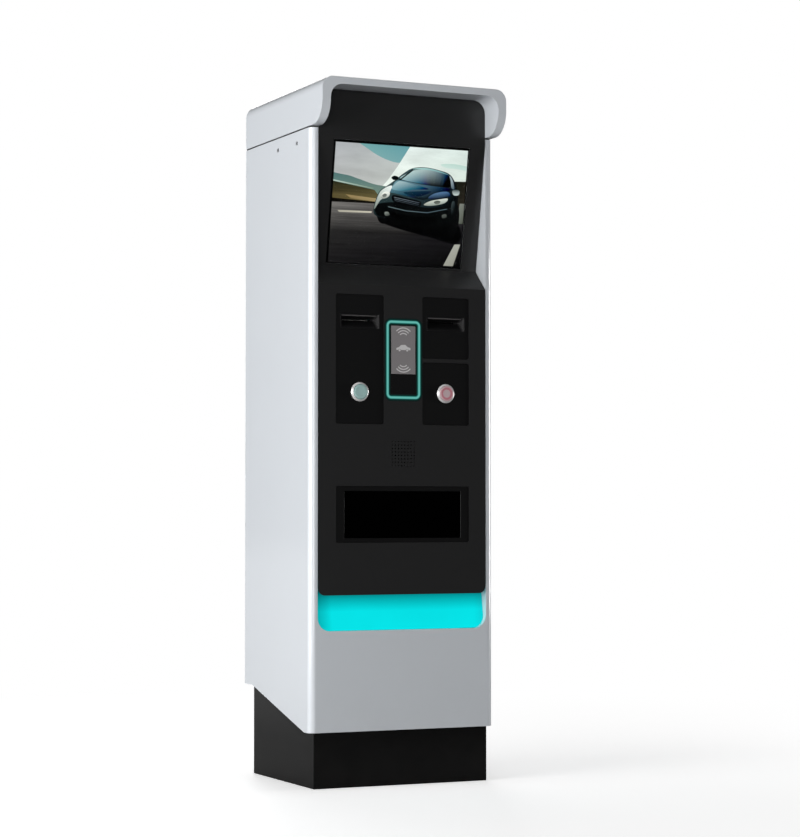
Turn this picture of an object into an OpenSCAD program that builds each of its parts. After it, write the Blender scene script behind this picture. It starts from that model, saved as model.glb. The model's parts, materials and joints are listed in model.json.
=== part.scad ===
// Parking pay station: a free-standing sheet-metal cabinet on a black plinth, with a hooded
// silver canopy, a folded black fascia and a full-height service door at the back.
// X is the width, -Y is the front that the driver faces, +Z is up, and Z = 0 is the floor.

/* [Cabinet] */
// Outside width of the cabinet
body_w = 410; // [404:1:412]
// Outside depth of the cabinet
body_d = 356; // [356:1:362]
// Height of the canopy's top above the floor
total_h = 1419; // [1414:1:1422]
// Height of the seam under the canopy
seam_z = 1327; // [1326:1:1328]
// Radius of the cabinet's front vertical corners
corner_r = 14; // [10:1:16]
// Thickness of the cabinet's sheet
sheet = 2; // [1.5:0.5:2]

/* [Plinth] */
// Height of the cabinet's bottom edge at the front
skirt_front_z = 112; // [105:1:120]
// Height of the cabinet's bottom edge at the back
skirt_rear_z = 188; // [180:1:188]
// How far the plinth's sides stand in from the cabinet's
plinth_inset = 12; // [8:1:15]

/* [Canopy] */
// How far the canopy's visor stands out from the cabinet
visor_reach = 62; // [56:1:74]
// Width of the visor's side lips
visor_lip = 18; // [18:1:18]
// Radius of the canopy's long top edges
canopy_r = 25; // [20:1:26]

/* [Fascia] */
// Thickness of the folded fascia sheet
fascia_t = 3; // [2:0.5:3]
// Height of the fascia's bottom edge
fascia_bottom_z = 385; // [380:1:390]
// Depth of the screen recess at its foot
recess_depth = 44; // [40:1:46]
// Diameter of the push buttons' metal bezels
bezel_d = 39; // [36:1:40]
// Push button travel
button_travel = 4; // [2:0.5:4]

/* [Rear door] */
// How far the door's sheet edges fold inwards
door_fold = 15; // [12:1:15]
// Radius of the hinge pins
hinge_pin_r = 2.5; // [2:0.5:2.5]

/* [Hidden] */
$fn = 48;

arc_steps = 8;
gap = 0.3;          // clearance round inserted parts
run = 0.06;         // running clearance on radius
eps = 1;            // overshoot of a cutting shape

half_w = body_w / 2;
front_y = -body_d / 2;
rear_y = body_d / 2;
shell_top_z = seam_z - 3;

silver = [0.80, 0.81, 0.83];
black = [0.13, 0.13, 0.14];
deep_black = [0.03, 0.03, 0.03];
teal = [0.25, 0.85, 0.78];
steel = [0.6, 0.61, 0.63];
board_green = [0.05, 0.3, 0.16];

// ---- outlines and blocks -------------------------------------------------------------------

function arc(c, r, from, to, steps = arc_steps) =
    [for (i = [0:steps]) let (a = from + (to - from) * i / steps) [c[0] + r * cos(a), c[1] + r * sin(a)]];

// Rectangle from (x0, z0) to (x1, z1) with its own radius at the bottom and at the top.
function round_rect(x0, x1, z0, z1, r_low, r_high) = concat(
    arc([x0 + r_low, z0 + r_low], r_low, 180, 270),
    arc([x1 - r_low, z0 + r_low], r_low, 270, 360),
    arc([x1 - r_high, z1 - r_high], r_high, 0, 90),
    arc([x0 + r_high, z1 - r_high], r_high, 90, 180));

// An outline of (y, z) points, extruded along X.
module along_x(points, x0, x1) {
    translate([x0, 0, 0]) rotate([90, 0, 90]) linear_extrude(x1 - x0) polygon(points);
}

// An outline of (x, z) points, extruded along Y.
module along_y(points, y0, y1) {
    translate([0, y1, 0]) rotate([90, 0, 0]) linear_extrude(y1 - y0) polygon(points);
}

module block(x0, x1, y0, y1, z0, z1) {
    translate([x0, y0, z0]) cube([x1 - x0, y1 - y0, z1 - z0]);
}

module rod_x(y, z, x0, x1, r) {
    translate([x0, y, z]) rotate([0, 90, 0]) cylinder(h = x1 - x0, r = r);
}

module rod_y(x, z, y0, y1, r) {
    translate([x, y1, z]) rotate([90, 0, 0]) cylinder(h = y1 - y0, r = r);
}

// A round profile of (radius, distance behind front) points, turned about a line along +Y.
module turned_y(x, y, z, points) {
    translate([x, y, z]) rotate([-90, 0, 0]) rotate_extrude() polygon(points);
}

// A tube swept along a list of points, as one closed polyhedron.
function unit(v) = v / norm(v);
function heading(p, i) = unit(p[min(i + 1, len(p) - 1)] - p[max(i - 1, 0)]);
function ring(p, i, r, sides, up) = let (t = heading(p, i), u = unit(cross(t, up)), v = cross(t, u))
    [for (k = [0:sides - 1]) p[i] + r * (cos(360 * k / sides) * u + sin(360 * k / sides) * v)];
module sweep(p, r, sides = 8, up = [0.31, 0.47, 0.83]) {
    n = len(p);
    polyhedron(
        points = [for (i = [0:n - 1]) each ring(p, i, r, sides, up)],
        faces = concat(
            [[for (k = [0:sides - 1]) k]],
            [for (i = [0:n - 2]) for (k = [0:sides - 1])
                [i * sides + k, (i + 1) * sides + k, (i + 1) * sides + (k + 1) % sides, i * sides + (k + 1) % sides]],
            [[for (k = [sides - 1:-1:0]) (n - 1) * sides + k]]));
}

// ---- plinth and cabinet --------------------------------------------------------------------

plinth_half = half_w - plinth_inset;
plinth_front = front_y + 8;
plinth_rear = rear_y - 22;
plinth_t = 3;
anchor_x = 155;
anchor_y = 120;
anchor_r = 7;
base_t = 8;
cable_y = 60;
cable_bore_r = 16;
collar_r = 32;
collar_top_z = 195;
floor_t = 3;
skirt_kink_front = front_y + 30;
skirt_kink_rear = front_y + 313;

// The slanting bottom edge of the cabinet, raised by lift, as (y, z) points from front to back.
function skirt(lift, over = 0) = [
    [front_y - over, skirt_front_z + lift], [skirt_kink_front, skirt_front_z + lift],
    [skirt_kink_rear, skirt_rear_z + lift], [rear_y + over, skirt_rear_z + lift]];

module base_plate() {
    inner = plinth_half - plinth_t;
    color(deep_black) difference() {
        block(-inner, inner, plinth_front + plinth_t, plinth_rear - plinth_t, 0, base_t);
        for (x = [-anchor_x, anchor_x]) for (y = [-anchor_y, anchor_y])
            translate([x, y, -eps]) cylinder(h = base_t + 2 * eps, r = anchor_r);
        translate([0, cable_y, -eps]) cylinder(h = base_t + 2 * eps, r = 45);
    }
}

module plinth() {
    inner = plinth_half - plinth_t;
    color(deep_black) intersection() {
        difference() {
            block(-plinth_half, plinth_half, plinth_front, plinth_rear, 0, skirt_rear_z + eps);
            block(-inner, inner, plinth_front + plinth_t, plinth_rear - plinth_t, -eps, skirt_rear_z + 2 * eps);
        }
        along_x(concat([[front_y, -eps]], skirt(0, 0), [[rear_y, -eps]]), -half_w, half_w);
    }
}

// The cabinet's outline from above, drawn in by inset, with its back edge at y = back.
function plan(inset, back) = concat(
    [[-half_w + inset, back]],
    arc([-half_w + corner_r, front_y + corner_r], corner_r - inset, 180, 270),
    arc([half_w - corner_r, front_y + corner_r], corner_r - inset, 270, 360),
    [[half_w - inset, back]]);

module upright(inset, back, z0, z1) {
    translate([0, 0, z0]) linear_extrude(z1 - z0) polygon(plan(inset, back));
}

module cabinet_floor() {
    color(steel) difference() {
        union() {
            intersection() {
                upright(sheet + 0.5, rear_y - sheet - 0.5, 100, 260);
                along_x(concat(skirt(0), [for (i = [3:-1:0]) skirt(floor_t)[i]]), -half_w, half_w);
            }
            translate([0, cable_y, 150]) cylinder(h = collar_top_z - 150, r = collar_r);
        }
        translate([0, cable_y, 140]) cylinder(h = 100, r = collar_r - 3);
    }
}

module floor_grommet() {
    color(deep_black) translate([0, cable_y, 0]) difference() {
        union() {
            translate([0, 0, 152]) cylinder(h = collar_top_z - 152, r = collar_r - 3 - gap);
            translate([0, 0, collar_top_z]) cylinder(h = 4, r = collar_r + 3);
        }
        translate([0, 0, 150]) cylinder(h = 60, r = cable_bore_r);
    }
}

opening_half = half_w - 17;
opening_bottom_z = 313.5;
opening_r = 27;
cheek_depth = 54;
flange_x = 180;
screw_y = [-108, -6];
screw_z = 1300;

// The cabinet's front opening, open at the top, grown by grow on its sides and foot.
function opening(grow, top) = concat(
    arc([-opening_half + opening_r, opening_bottom_z + opening_r], opening_r + grow, 180, 270),
    arc([opening_half - opening_r, opening_bottom_z + opening_r], opening_r + grow, 270, 360),
    [[opening_half + grow, top], [-opening_half - grow, top]]);

module cabinet_shell() {
    color(silver) difference() {
        union() {
            difference() {
                upright(0, rear_y, skirt_front_z - eps, shell_top_z);
                upright(sheet, rear_y + eps, 0, shell_top_z + eps);
                along_y(opening(0, shell_top_z + eps), front_y - eps, front_y + corner_r);
            }
            for (side = [-1, 1])
                block(min(side * half_w, side * flange_x), max(side * half_w, side * flange_x),
                    rear_y - sheet, rear_y, skirt_front_z, shell_top_z);
            difference() {
                along_y(opening(sheet, shell_top_z), front_y + 0.5, front_y + cheek_depth);
                along_y(opening(0, shell_top_z + eps), front_y - eps, front_y + cheek_depth + eps);
            }
        }
        along_x(concat([[front_y - eps, 0]], skirt(0, eps), [[rear_y + eps, 0]]), -half_w - eps, half_w + eps);
        for (side = [-1, 1]) for (y = screw_y)
            rod_x(y, screw_z, side * half_w - 5, side * half_w + 5, 2.2);
    }
}

frame_y = rear_y - 20;
door_half = flange_x - 2.5;
door_z0 = 222;
door_z1 = 1289;
frame_inner_half = 168;
frame_inner_z0 = door_z0 + 2;
frame_inner_z1 = door_z1 - 6;

module rear_frame() {
    outer = half_w - sheet - 0.3;
    foot = skirt_rear_z + floor_t + 0.2;
    color(silver) {
        difference() {
            block(-outer, outer, frame_y, frame_y + sheet, foot, shell_top_z - 2);
            block(-frame_inner_half, frame_inner_half, frame_y - eps, frame_y + sheet + eps, frame_inner_z0, frame_inner_z1);
        }
        block(-flange_x + gap, flange_x - gap, rear_y - sheet, rear_y, door_z1 + 2, shell_top_z - 2);
        block(-flange_x + gap, flange_x - gap, frame_y + sheet, rear_y - sheet, door_z1 + 2, door_z1 + 4);
        block(-flange_x + gap, flange_x - gap, rear_y - sheet, rear_y, foot, door_z0 - 2);
        block(-flange_x + gap, flange_x - gap, frame_y + sheet, rear_y - sheet, door_z0 - 4, door_z0 - 2);
    }
}

module door_gasket() {
    y0 = frame_y + sheet;
    y1 = rear_y - door_fold - gap;
    color(deep_black) difference() {
        block(-door_half + 1, door_half - 1, y0, y1, door_z0 + 1, door_z1 - 1);
        block(-door_half + 8, door_half - 8, y0 - eps, y1 + eps, door_z0 + 8, door_z1 - 8);
    }
}

// ---- canopy --------------------------------------------------------------------------------

canopy_t = 3;
visor_front = front_y - visor_reach;
visor_curve_r = seam_z + 47 - seam_z;
visor_curve_y = front_y - visor_reach + visor_curve_r;
visor_top_lip = 15;
visor_mouth_r = 27;
canopy_rear_r = 6;

// The canopy from the side: a straight visor front that curves back under itself.
function canopy_side() = concat(
    [[rear_y, seam_z]],
    arc([rear_y - canopy_rear_r, total_h - canopy_rear_r], canopy_rear_r, 0, 90),
    arc([visor_front + 4, total_h - 4], 4, 90, 180),
    arc([visor_curve_y, seam_z + visor_curve_r], visor_curve_r, 180, 270, 14));

// A doorway outline in (x, z) with rounded top corners.
function doorway(half, z0, z1, r) = concat(
    [[-half, z0], [half, z0]], arc([half - r, z1 - r], r, 0, 90), arc([-half + r, z1 - r], r, 90, 180));

module canopy() {
    lip_half = half_w - visor_lip;
    color(silver) {
        difference() {
            intersection() {
                along_x(canopy_side(), -half_w - eps, half_w + eps);
                along_y(doorway(half_w, seam_z - eps, total_h, canopy_r), visor_front - eps, rear_y + eps);
            }
            intersection() {
                along_y(doorway(half_w - canopy_t, seam_z - 2, total_h - canopy_t, canopy_r - canopy_t),
                    front_y + 2, rear_y);
                along_x(concat([[front_y, seam_z - 3], [rear_y - canopy_t, seam_z - 3]],
                    arc([rear_y - canopy_rear_r, total_h - canopy_rear_r], canopy_rear_r - canopy_t, 0, 90),
                    [[front_y, total_h - canopy_t]]), -half_w, half_w);
            }
            along_y(doorway(lip_half, seam_z - 2, total_h - visor_top_lip, visor_mouth_r), visor_front - 2, front_y + 4);
        }
        for (side = [-1, 1]) for (y = screw_y) difference() {
            translate([side * (half_w - sheet - 2), y, 0]) block(-1.7, 1.7, -14, 14, screw_z - 12, seam_z + 6);
            rod_x(y, screw_z, side * half_w - 10, side * half_w + 10, 2.05);
        }
    }
}

module canopy_gasket() {
    color(deep_black) difference() {
        upright(1.5, rear_y - 1.5, shell_top_z, seam_z);
        block(-half_w + 8, half_w - 8, front_y + 8, rear_y - 8, shell_top_z - eps, seam_z + eps);
        block(-opening_half, opening_half, front_y - eps, front_y + 20, shell_top_z - eps, seam_z + eps);
        for (side = [-1, 1]) for (y = screw_y)
            translate([side * (half_w - sheet - 2), y, 0])
                block(-2.2, 2.2, -15, 15, shell_top_z - eps, seam_z + eps);
    }
}

module canopy_screws() {
    color(steel) for (side = [-1, 1]) for (y = screw_y)
        translate([side * half_w, y, screw_z]) rotate([0, side * 90, 0]) difference() {
            union() {
                cylinder(h = 0.8, r = 4);
                translate([0, 0, -8]) cylinder(h = 8.2, r = 2);
            }
            translate([0, 0, 0.4]) cylinder(h = 1, r = 1.4, $fn = 6);
        }
}

// ---- fascia and screen ---------------------------------------------------------------------

face_y = front_y - 1;
shelf_low_z = 1011;
shelf_high_z = 1052;
brow_z = 1312;
fascia_half = opening_half - 1.3;
fascia_top_z = total_h - visor_top_lip - 0.5;
tilt = atan2(recess_depth, brow_z - shelf_high_z);
screen_w = 302;
screen_low = 6;
screen_high = 253;

// The fascia's folded front line as (y, z) points, shifted back by deep.
function fold_line(deep) = [
    [face_y + deep, fascia_bottom_z], [face_y + deep, shelf_low_z],
    [face_y + recess_depth + deep, shelf_high_z], [face_y + deep, brow_z],
    [face_y + deep, fascia_top_z]];

// Puts children on the leaning screen plane: X across, Z up the plane, Y into the cabinet.
module on_screen_plane() {
    translate([0, face_y + recess_depth, shelf_high_z]) rotate([tilt, 0, 0]) children();
}

column_in = 43;
column_out = 149.5;
column_z0 = 729;
column_z1 = 991;
card_z0 = 865;
intercom_z1 = 857;
pocket_r = 5;
reader_half = 38.3;
reader_z0 = 781;
reader_z1 = 941;
reader_r = 11;
led_half = 149;
led_z0 = 490;
led_z1 = 604;
speaker_z = 670;
speaker_holes = 8;
speaker_pitch = 7;

module fascia() {
    color(black) difference() {
        intersection() {
            along_x(concat(fold_line(0), [for (i = [4:-1:0]) fold_line(fascia_t)[i]]), -fascia_half, fascia_half);
            along_y(round_rect(-fascia_half, fascia_half, fascia_bottom_z, fascia_top_z, 15, visor_mouth_r),
                face_y - eps, face_y + recess_depth + 20);
        }
        on_screen_plane() block(-screen_w / 2 - 2.3, screen_w / 2 + 2.3, -10, 10, screen_low - 2.3, screen_high + 2.3);
        along_y(round_rect(-column_out, -column_in, column_z0, column_z1, pocket_r, pocket_r), face_y - eps, face_y + 10);
        along_y(round_rect(column_in, column_out, card_z0, column_z1, pocket_r, pocket_r), face_y - eps, face_y + 10);
        along_y(round_rect(column_in, column_out, column_z0, intercom_z1, pocket_r, pocket_r), face_y - eps, face_y + 10);
        along_y(round_rect(-reader_half - gap, reader_half + gap, reader_z0 - gap, reader_z1 + gap, reader_r, reader_r),
            face_y - eps, face_y + 10);
        along_y(round_rect(-led_half, led_half, led_z0, led_z1, 3, 3), face_y - eps, face_y + 10);
        for (i = [0:speaker_holes - 1]) for (k = [0:speaker_holes - 1])
            rod_y((i - (speaker_holes - 1) / 2) * speaker_pitch,
                speaker_z + (k - (speaker_holes - 1) / 2) * speaker_pitch, face_y - eps, face_y + 10, 1.6);
    }
}

module screen_glass() {
    color([0.05, 0.06, 0.07]) on_screen_plane()
        block(-screen_w / 2 - 2, screen_w / 2 + 2, 0, 3, screen_low - 2, screen_high + 2);
}

module lcd_panel() {
    color([0.3, 0.45, 0.5]) on_screen_plane()
        block(-screen_w / 2, screen_w / 2, 4, 11, screen_low, screen_high);
}

module lcd_housing() {
    color(steel) on_screen_plane() difference() {
        union() {
            block(-164, 164, 4, 30, 3, 258);
            block(-120, 120, 30, 42, 40, 220);
        }
        block(-screen_w / 2 - 0.5, screen_w / 2 + 0.5, 0, 11.2, screen_low - 0.5, screen_high + 0.5);
        for (i = [-6:6]) block(i * 14 - 2.5, i * 14 + 2.5, 38, 50, 90, 170);
    }
}

// ---- ticket, card and intercom modules -----------------------------------------------------

plate_y = face_y + 1.5;      // front of the recessed module plates
plate_back = face_y + fascia_t + 1.5;
module_x = (column_in + column_out) / 2;
mouth_half = 43;
mouth_z0 = 922.5;
mouth_z1 = 951;
slot_z = 941;
throat_y = plate_y + 20;
mouth_back = plate_y + 27;
button_z = 794;
button_hole_r = 17;

// A recessed plate whose flange sits behind the fascia round its pocket.
module module_plate(x0, x1, z0, z1) {
    lap = 2.2;
    along_y(round_rect(x0 + gap, x1 - gap, z0 + gap, z1 - gap, pocket_r, pocket_r), plate_y, face_y + fascia_t);
    along_y(round_rect(x0 - lap, x1 + lap, z0 - lap, z1 + lap, pocket_r, pocket_r), face_y + fascia_t, plate_back);
}

module mouth_hole(x) {
    block(x - mouth_half, x + mouth_half, plate_y - 5, plate_back + 5, mouth_z0, mouth_z1);
}

module ticket_plate() {
    color(black) difference() {
        module_plate(-column_out, -column_in, column_z0, column_z1);
        mouth_hole(-module_x);
        rod_y(-module_x, button_z, plate_y - 5, plate_back + 5, button_hole_r);
    }
}

module card_plate() {
    color(black) difference() {
        module_plate(column_in, column_out, card_z0, column_z1);
        mouth_hole(module_x);
    }
}

module intercom_plate() {
    color(black) difference() {
        module_plate(column_in, column_out, column_z0, intercom_z1);
        rod_y(module_x, button_z, plate_y - 5, plate_back + 5, button_hole_r);
    }
}

// A wedge-shaped mouth: a slanting ceiling and a long slanting floor that meet at the slot.
module mouth(x, slot_half) {
    color(deep_black) difference() {
        union() {
            block(x - mouth_half - 4, x + mouth_half + 4, plate_back, mouth_back, mouth_z0 - 6, mouth_z1 + 6);
            block(x - mouth_half + gap, x + mouth_half - gap, plate_y, plate_back, mouth_z0 + gap, mouth_z1 - gap);
        }
        along_x([[plate_y - eps, mouth_z1 - 1], [throat_y, slot_z + 1.8],
            [throat_y, slot_z - 1.8], [plate_y - eps, mouth_z0 + 1]], x - mouth_half + 2, x + mouth_half - 2);
        block(x - slot_half, x + slot_half, throat_y - eps, mouth_back + eps, slot_z - 1.5, slot_z + 1.5);
    }
}

module ticket_mouth() {
    mouth(-module_x, 31);
}

module card_mouth() {
    mouth(module_x, 28);
}

// ---- push buttons --------------------------------------------------------------------------

cap_r = 14.6;
barrel_end = plate_y + 17.5;
housing_end = plate_y + 50;
spring_y0 = plate_y + 9.5;
spring_y1 = plate_y + 32;

module button_bezel(x) {
    turned_y(x, plate_y, button_z, [
        [cap_r + gap, -3.5], [cap_r + 1.2, -4.2], [bezel_d / 2 - 1.5, -3], [bezel_d / 2, -1], [bezel_d / 2, 0],
        [button_hole_r - 0.2, 0], [button_hole_r - 0.2, barrel_end - plate_y], [cap_r + gap, barrel_end - plate_y]]);
}

module button_bezels() {
    color([0.85, 0.85, 0.86]) for (x = [-module_x, module_x]) button_bezel(x);
}

module button_housings() {
    color(black) for (x = [-module_x, module_x]) difference() {
        block(x - 20, x + 20, barrel_end, housing_end, button_z - 20, button_z + 20);
        rod_y(x, button_z, barrel_end - eps, spring_y1, cap_r + gap);
        rod_y(x, button_z, spring_y1 - eps, housing_end - 4, 4 + gap);
    }
}

module button_cap(x, face) {
    color(face) {
        turned_y(x, plate_y, button_z, [
            [0, -5.2], [9.6, -5.2], [10.2, -4.6], [10.8, -5.4], [cap_r - 1.2, -6], [cap_r, -5],
            [cap_r, spring_y0 - plate_y], [4, spring_y0 - plate_y], [4, 38], [0, 38]]);
    }
}

module green_button_cap() {
    button_cap(-module_x, teal);
}

module red_button_cap() {
    button_cap(module_x, [0.8, 0.35, 0.42]);
}

module button_spring(x) {
    turns = 5;
    steps = 14;
    last = turns * steps;
    coil = [for (i = [0:last])
        [x + 8 * cos(360 * i / steps), spring_y0 + 0.7 + (spring_y1 - spring_y0 - 1.4) * i / last,
            button_z + 8 * sin(360 * i / steps)]];
    color(steel) sweep(coil, 0.6, 8, [0, 1, 0]);
}

module green_button_spring() {
    button_spring(-module_x);
}

module red_button_spring() {
    button_spring(module_x);
}

// ---- card reader window --------------------------------------------------------------------

band = 6;
label_z0 = 832;
label_z1 = 930;
window_y = face_y + 0.4;

module reader_ring_light() {
    color(teal) difference() {
        along_y(round_rect(-reader_half, reader_half, reader_z0, reader_z1, reader_r, reader_r), face_y - 0.8, face_y + 4);
        along_y(round_rect(-reader_half + band, reader_half - band, reader_z0 + band, reader_z1 - band,
            reader_r - band, reader_r - band), face_y - 2, face_y + 5);
    }
}

module reader_window() {
    inset = band + gap;
    color(deep_black) along_y(round_rect(-reader_half + inset, reader_half - inset, reader_z0 + inset,
        reader_z1 - inset, reader_r - inset, reader_r - inset), window_y, face_y + 4);
}

module reader_label() {
    color([0.42, 0.4, 0.42]) along_y(round_rect(-27, 27, label_z0, label_z1, 1, 1), window_y - 0.5, window_y);
}

// One arc of the wave symbol, opening away from centre_z.
function wave(centre_z, r, from, to) = concat(arc([0, centre_z], r + 1.1, from, to), arc([0, centre_z], r - 1.1, to, from));

module reader_icons() {
    y0 = window_y - 0.8;
    y1 = window_y - 0.5;
    car_z = 881;
    color([0.85, 0.84, 0.84]) {
        for (r = [10, 15.5, 21]) {
            along_y(wave(905, r, 42, 138), y0, y1);
            along_y(wave(857, r, 222, 318), y0, y1);
        }
        along_y([[-16, car_z], [-15.5, car_z + 4], [-10, car_z + 5.5], [-5, car_z + 10], [4, car_z + 10.5],
            [10, car_z + 6], [15.5, car_z + 4.5], [16, car_z], [11.5, car_z], [10.5, car_z + 1.8], [6.5, car_z + 1.8],
            [5.5, car_z], [-5.5, car_z], [-6.5, car_z + 1.8], [-10.5, car_z + 1.8], [-11.5, car_z]], y0, y1);
        for (x = [-8.5, 8.5]) rod_y(x, car_z - 0.8, y0, y1, 2.1);
    }
}

module reader_board() {
    color(board_green) {
        block(-34, 34, face_y + 8, face_y + 9.6, reader_z0 + 2, reader_z1 - 2);
        for (x = [-28, 28]) for (z = [reader_z0 + 8, reader_z1 - 8]) rod_y(x, z, face_y + 4, face_y + 8, 2.5);
        block(-14, 14, face_y + 9.6, face_y + 12, reader_z0 + 30, reader_z0 + 58);
        block(-10, 10, face_y + 9.6, face_y + 18, reader_z0 + 8, reader_z0 + 18);
    }
}

// ---- message display -----------------------------------------------------------------------

window_half = 130;
window_z0 = 499;
window_z1 = 594;

module led_frame() {
    color(deep_black) difference() {
        union() {
            along_y(round_rect(-led_half + gap, led_half - gap, led_z0 + gap, led_z1 - gap, 3, 3), face_y + 1, face_y + fascia_t);
            block(-led_half - 2, led_half + 2, face_y + fascia_t, face_y + 6, led_z0 - 2, led_z1 + 2);
        }
        block(-window_half, window_half, face_y - eps, face_y + 10, window_z0, window_z1);
    }
}

module led_window() {
    color([0.02, 0.02, 0.02]) {
        block(-window_half + gap, window_half - gap, face_y + 2.5, face_y + 6, window_z0 + gap, window_z1 - gap);
        block(-window_half - 6, window_half + 6, face_y + 6, face_y + 8, window_z0 - 4, window_z1 + 4);
    }
}

module led_board() {
    color(board_green) {
        block(-128, 128, face_y + 12, face_y + 14, window_z0 + 1, window_z1 - 1);
        block(-126, 126, face_y + 10, face_y + 12, window_z0 + 3, window_z1 - 3);
        for (x = [-120, 120]) for (z = [window_z0 + 8, window_z1 - 8]) rod_y(x, z, face_y + 8, face_y + 10, 3);
        for (i = [-3:3]) block(i * 30 - 8, i * 30 + 8, face_y + 14, face_y + 17, 525, 535);
        block(-20, 20, face_y + 14, face_y + 24, 550, 562);
    }
}

// ---- light bar -----------------------------------------------------------------------------

bar_low_y = front_y + 8;
bar_high_y = front_y + 20;
bar_high_z = 395;
bar_t = 5;

module light_bar_diffuser() {
    half = opening_half - 0.5;
    color([0.1, 0.9, 0.9]) intersection() {
        along_x([[bar_low_y, opening_bottom_z], [bar_high_y, bar_high_z],
            [bar_high_y + bar_t, bar_high_z], [bar_low_y + bar_t, opening_bottom_z]], -half, half);
        along_y(opening(-0.5, bar_high_z + 5), front_y, front_y + 60);
    }
}

module light_bar_strip() {
    color([0.9, 0.9, 0.88]) {
        block(-150, 150, front_y + 44, front_y + 45.6, opening_bottom_z, opening_bottom_z + 22);
        for (i = [-12:12]) block(i * 12 - 2.5, i * 12 + 2.5, front_y + 42.5, front_y + 44,
            opening_bottom_z + 9, opening_bottom_z + 14);
    }
}

// ---- speaker -------------------------------------------------------------------------------

speaker_y = face_y + fascia_t;

module speaker_basket() {
    color(black) difference() {
        union() {
            block(-33, 33, speaker_y, speaker_y + 3, speaker_z - 33, speaker_z + 33);
            turned_y(0, speaker_y, speaker_z, [[30, 3], [30, 6], [17, 24], [17, 38], [0, 38], [0, 22], [14, 22], [26, 3]]);
        }
        rod_y(0, speaker_z, speaker_y - eps, speaker_y + 3 + eps, 26);
    }
}

module speaker_cone() {
    color([0.2, 0.2, 0.2]) turned_y(0, speaker_y, speaker_z,
        [[24.6, 3], [24.6, 4], [10, 17.5], [0, 17.5], [0, 16.5], [9.6, 16.5], [23, 3]]);
}

// ---- ticket printer ------------------------------------------------------------------------

printer_x0 = -module_x - 38;
printer_x1 = -module_x + 38;
printer_y0 = mouth_back + 1;
printer_y1 = -40;
roll_y = -85;
roll_z = 896;
roll_r = 37.5;
roll_bore_r = 6.3;
platen_y = -138;
platen_r = 6;
platen_z = slot_z + platen_r + 0.2;
shaft_r = 2.5;

module printer_chassis() {
    color(steel) difference() {
        union() {
            block(printer_x0, printer_x0 + 2, printer_y0, printer_y1, 850, 962);
            block(printer_x1 - 2, printer_x1, printer_y0, printer_y1, 850, 962);
            block(printer_x0 + 2, printer_x1 - 2, printer_y0, printer_y1, 850, 852);
            block(printer_x0 + 2, printer_x1 - 2, printer_y0, printer_y0 + 2, 852, 930);
            block(printer_x0 + 2, printer_x1 - 2, printer_y1 - 2, printer_y1, 852, 870);
            rod_x(roll_y, roll_z, printer_x0 + 2, printer_x1 - 2, roll_bore_r - run);
        }
        rod_x(platen_y, platen_z, printer_x0 - eps, printer_x1 + eps, shaft_r + run);
    }
}

module print_head() {
    color([0.15, 0.15, 0.16]) {
        block(printer_x0 + 2, printer_x1 - 2, platen_y - 6, platen_y + 8, 930, slot_z - 1.4);
        block(-module_x - 29, -module_x + 29, platen_y - 2, platen_y + 2, slot_z - 1.4, slot_z - 0.6);
        for (i = [-3:3]) block(-module_x + i * 9 - 2, -module_x + i * 9 + 2, platen_y + 8, platen_y + 14, 930, 938);
    }
}

module paper_web() {
    color([0.95, 0.95, 0.92]) along_x([[roll_y, roll_z + roll_r + 0.4], [platen_y + 4, slot_z - 0.5], [printer_y0, slot_z - 0.5],
        [printer_y0, slot_z - 0.2], [platen_y + 4, slot_z - 0.2], [roll_y, roll_z + roll_r + 0.7]],
        -module_x - 28.5, -module_x + 28.5);
}

module platen_roller() {
    color(deep_black) {
        rod_x(platen_y, platen_z, -module_x - 30, -module_x + 30, platen_r);
        rod_x(platen_y, platen_z, printer_x0 - 8, printer_x1 + 4, shaft_r);
        rod_x(platen_y, platen_z, printer_x0 - 7, printer_x0 - 1.5, 9);
    }
}

module paper_roll() {
    color([0.95, 0.95, 0.92]) difference() {
        rod_x(roll_y, roll_z, -module_x - 29, -module_x + 29, roll_r);
        rod_x(roll_y, roll_z, -module_x - 31, -module_x + 31, roll_bore_r);
        for (side = [-1, 1]) translate([side * 29, 0, 0]) rod_x(roll_y, roll_z, -module_x - 1, -module_x + 1, 9);
    }
}

// ---- card reader ---------------------------------------------------------------------------

card_x0 = module_x - 36;
card_x1 = module_x + 36;
feed_y = -112;
feed_r = 7;
feed_z = slot_z + feed_r + 0.6;

module card_reader_body() {
    color([0.35, 0.36, 0.38]) difference() {
        block(card_x0, card_x1, mouth_back + 1, -50, 924, 960);
        block(card_x0 + 4, card_x1 - 4, mouth_back, -54, slot_z - 1.5, slot_z + 1.5);
        block(card_x0 + 4, card_x1 - 4, feed_y - 12, feed_y + 12, slot_z, 961);
        block(card_x0 + 4, card_x1 - 4, -90, -58, 920, slot_z);
        rod_x(feed_y, feed_z, card_x0 - eps, card_x1 + eps, shaft_r + run);
    }
}

module card_feed_roller() {
    color(deep_black) {
        rod_x(feed_y, feed_z, card_x0 - 8, card_x1 + 5, shaft_r);
        for (x = [-18, 18]) rod_x(feed_y, feed_z, module_x + x - 6, module_x + x + 6, feed_r);
        rod_x(feed_y, feed_z, card_x0 - 7, card_x0 - 1.5, 8);
    }
}

module card_hopper() {
    color([0.5, 0.51, 0.53]) {
        difference() {
            block(card_x0 + 2, card_x1 - 2, -115, -32, 735, 915);
            block(card_x0 + 4, card_x1 - 4, -113, -34, 737, 916);
        }
        for (x = [card_x0 + 2, card_x1 - 4]) block(x, x + 2, -80, -60, 915, 924);
    }
}

// ---- power and control ---------------------------------------------------------------------

tray_y = 38;
tray_face = tray_y + 2;
rail_z = 304;
rail_top = tray_face + 7.5;

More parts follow.
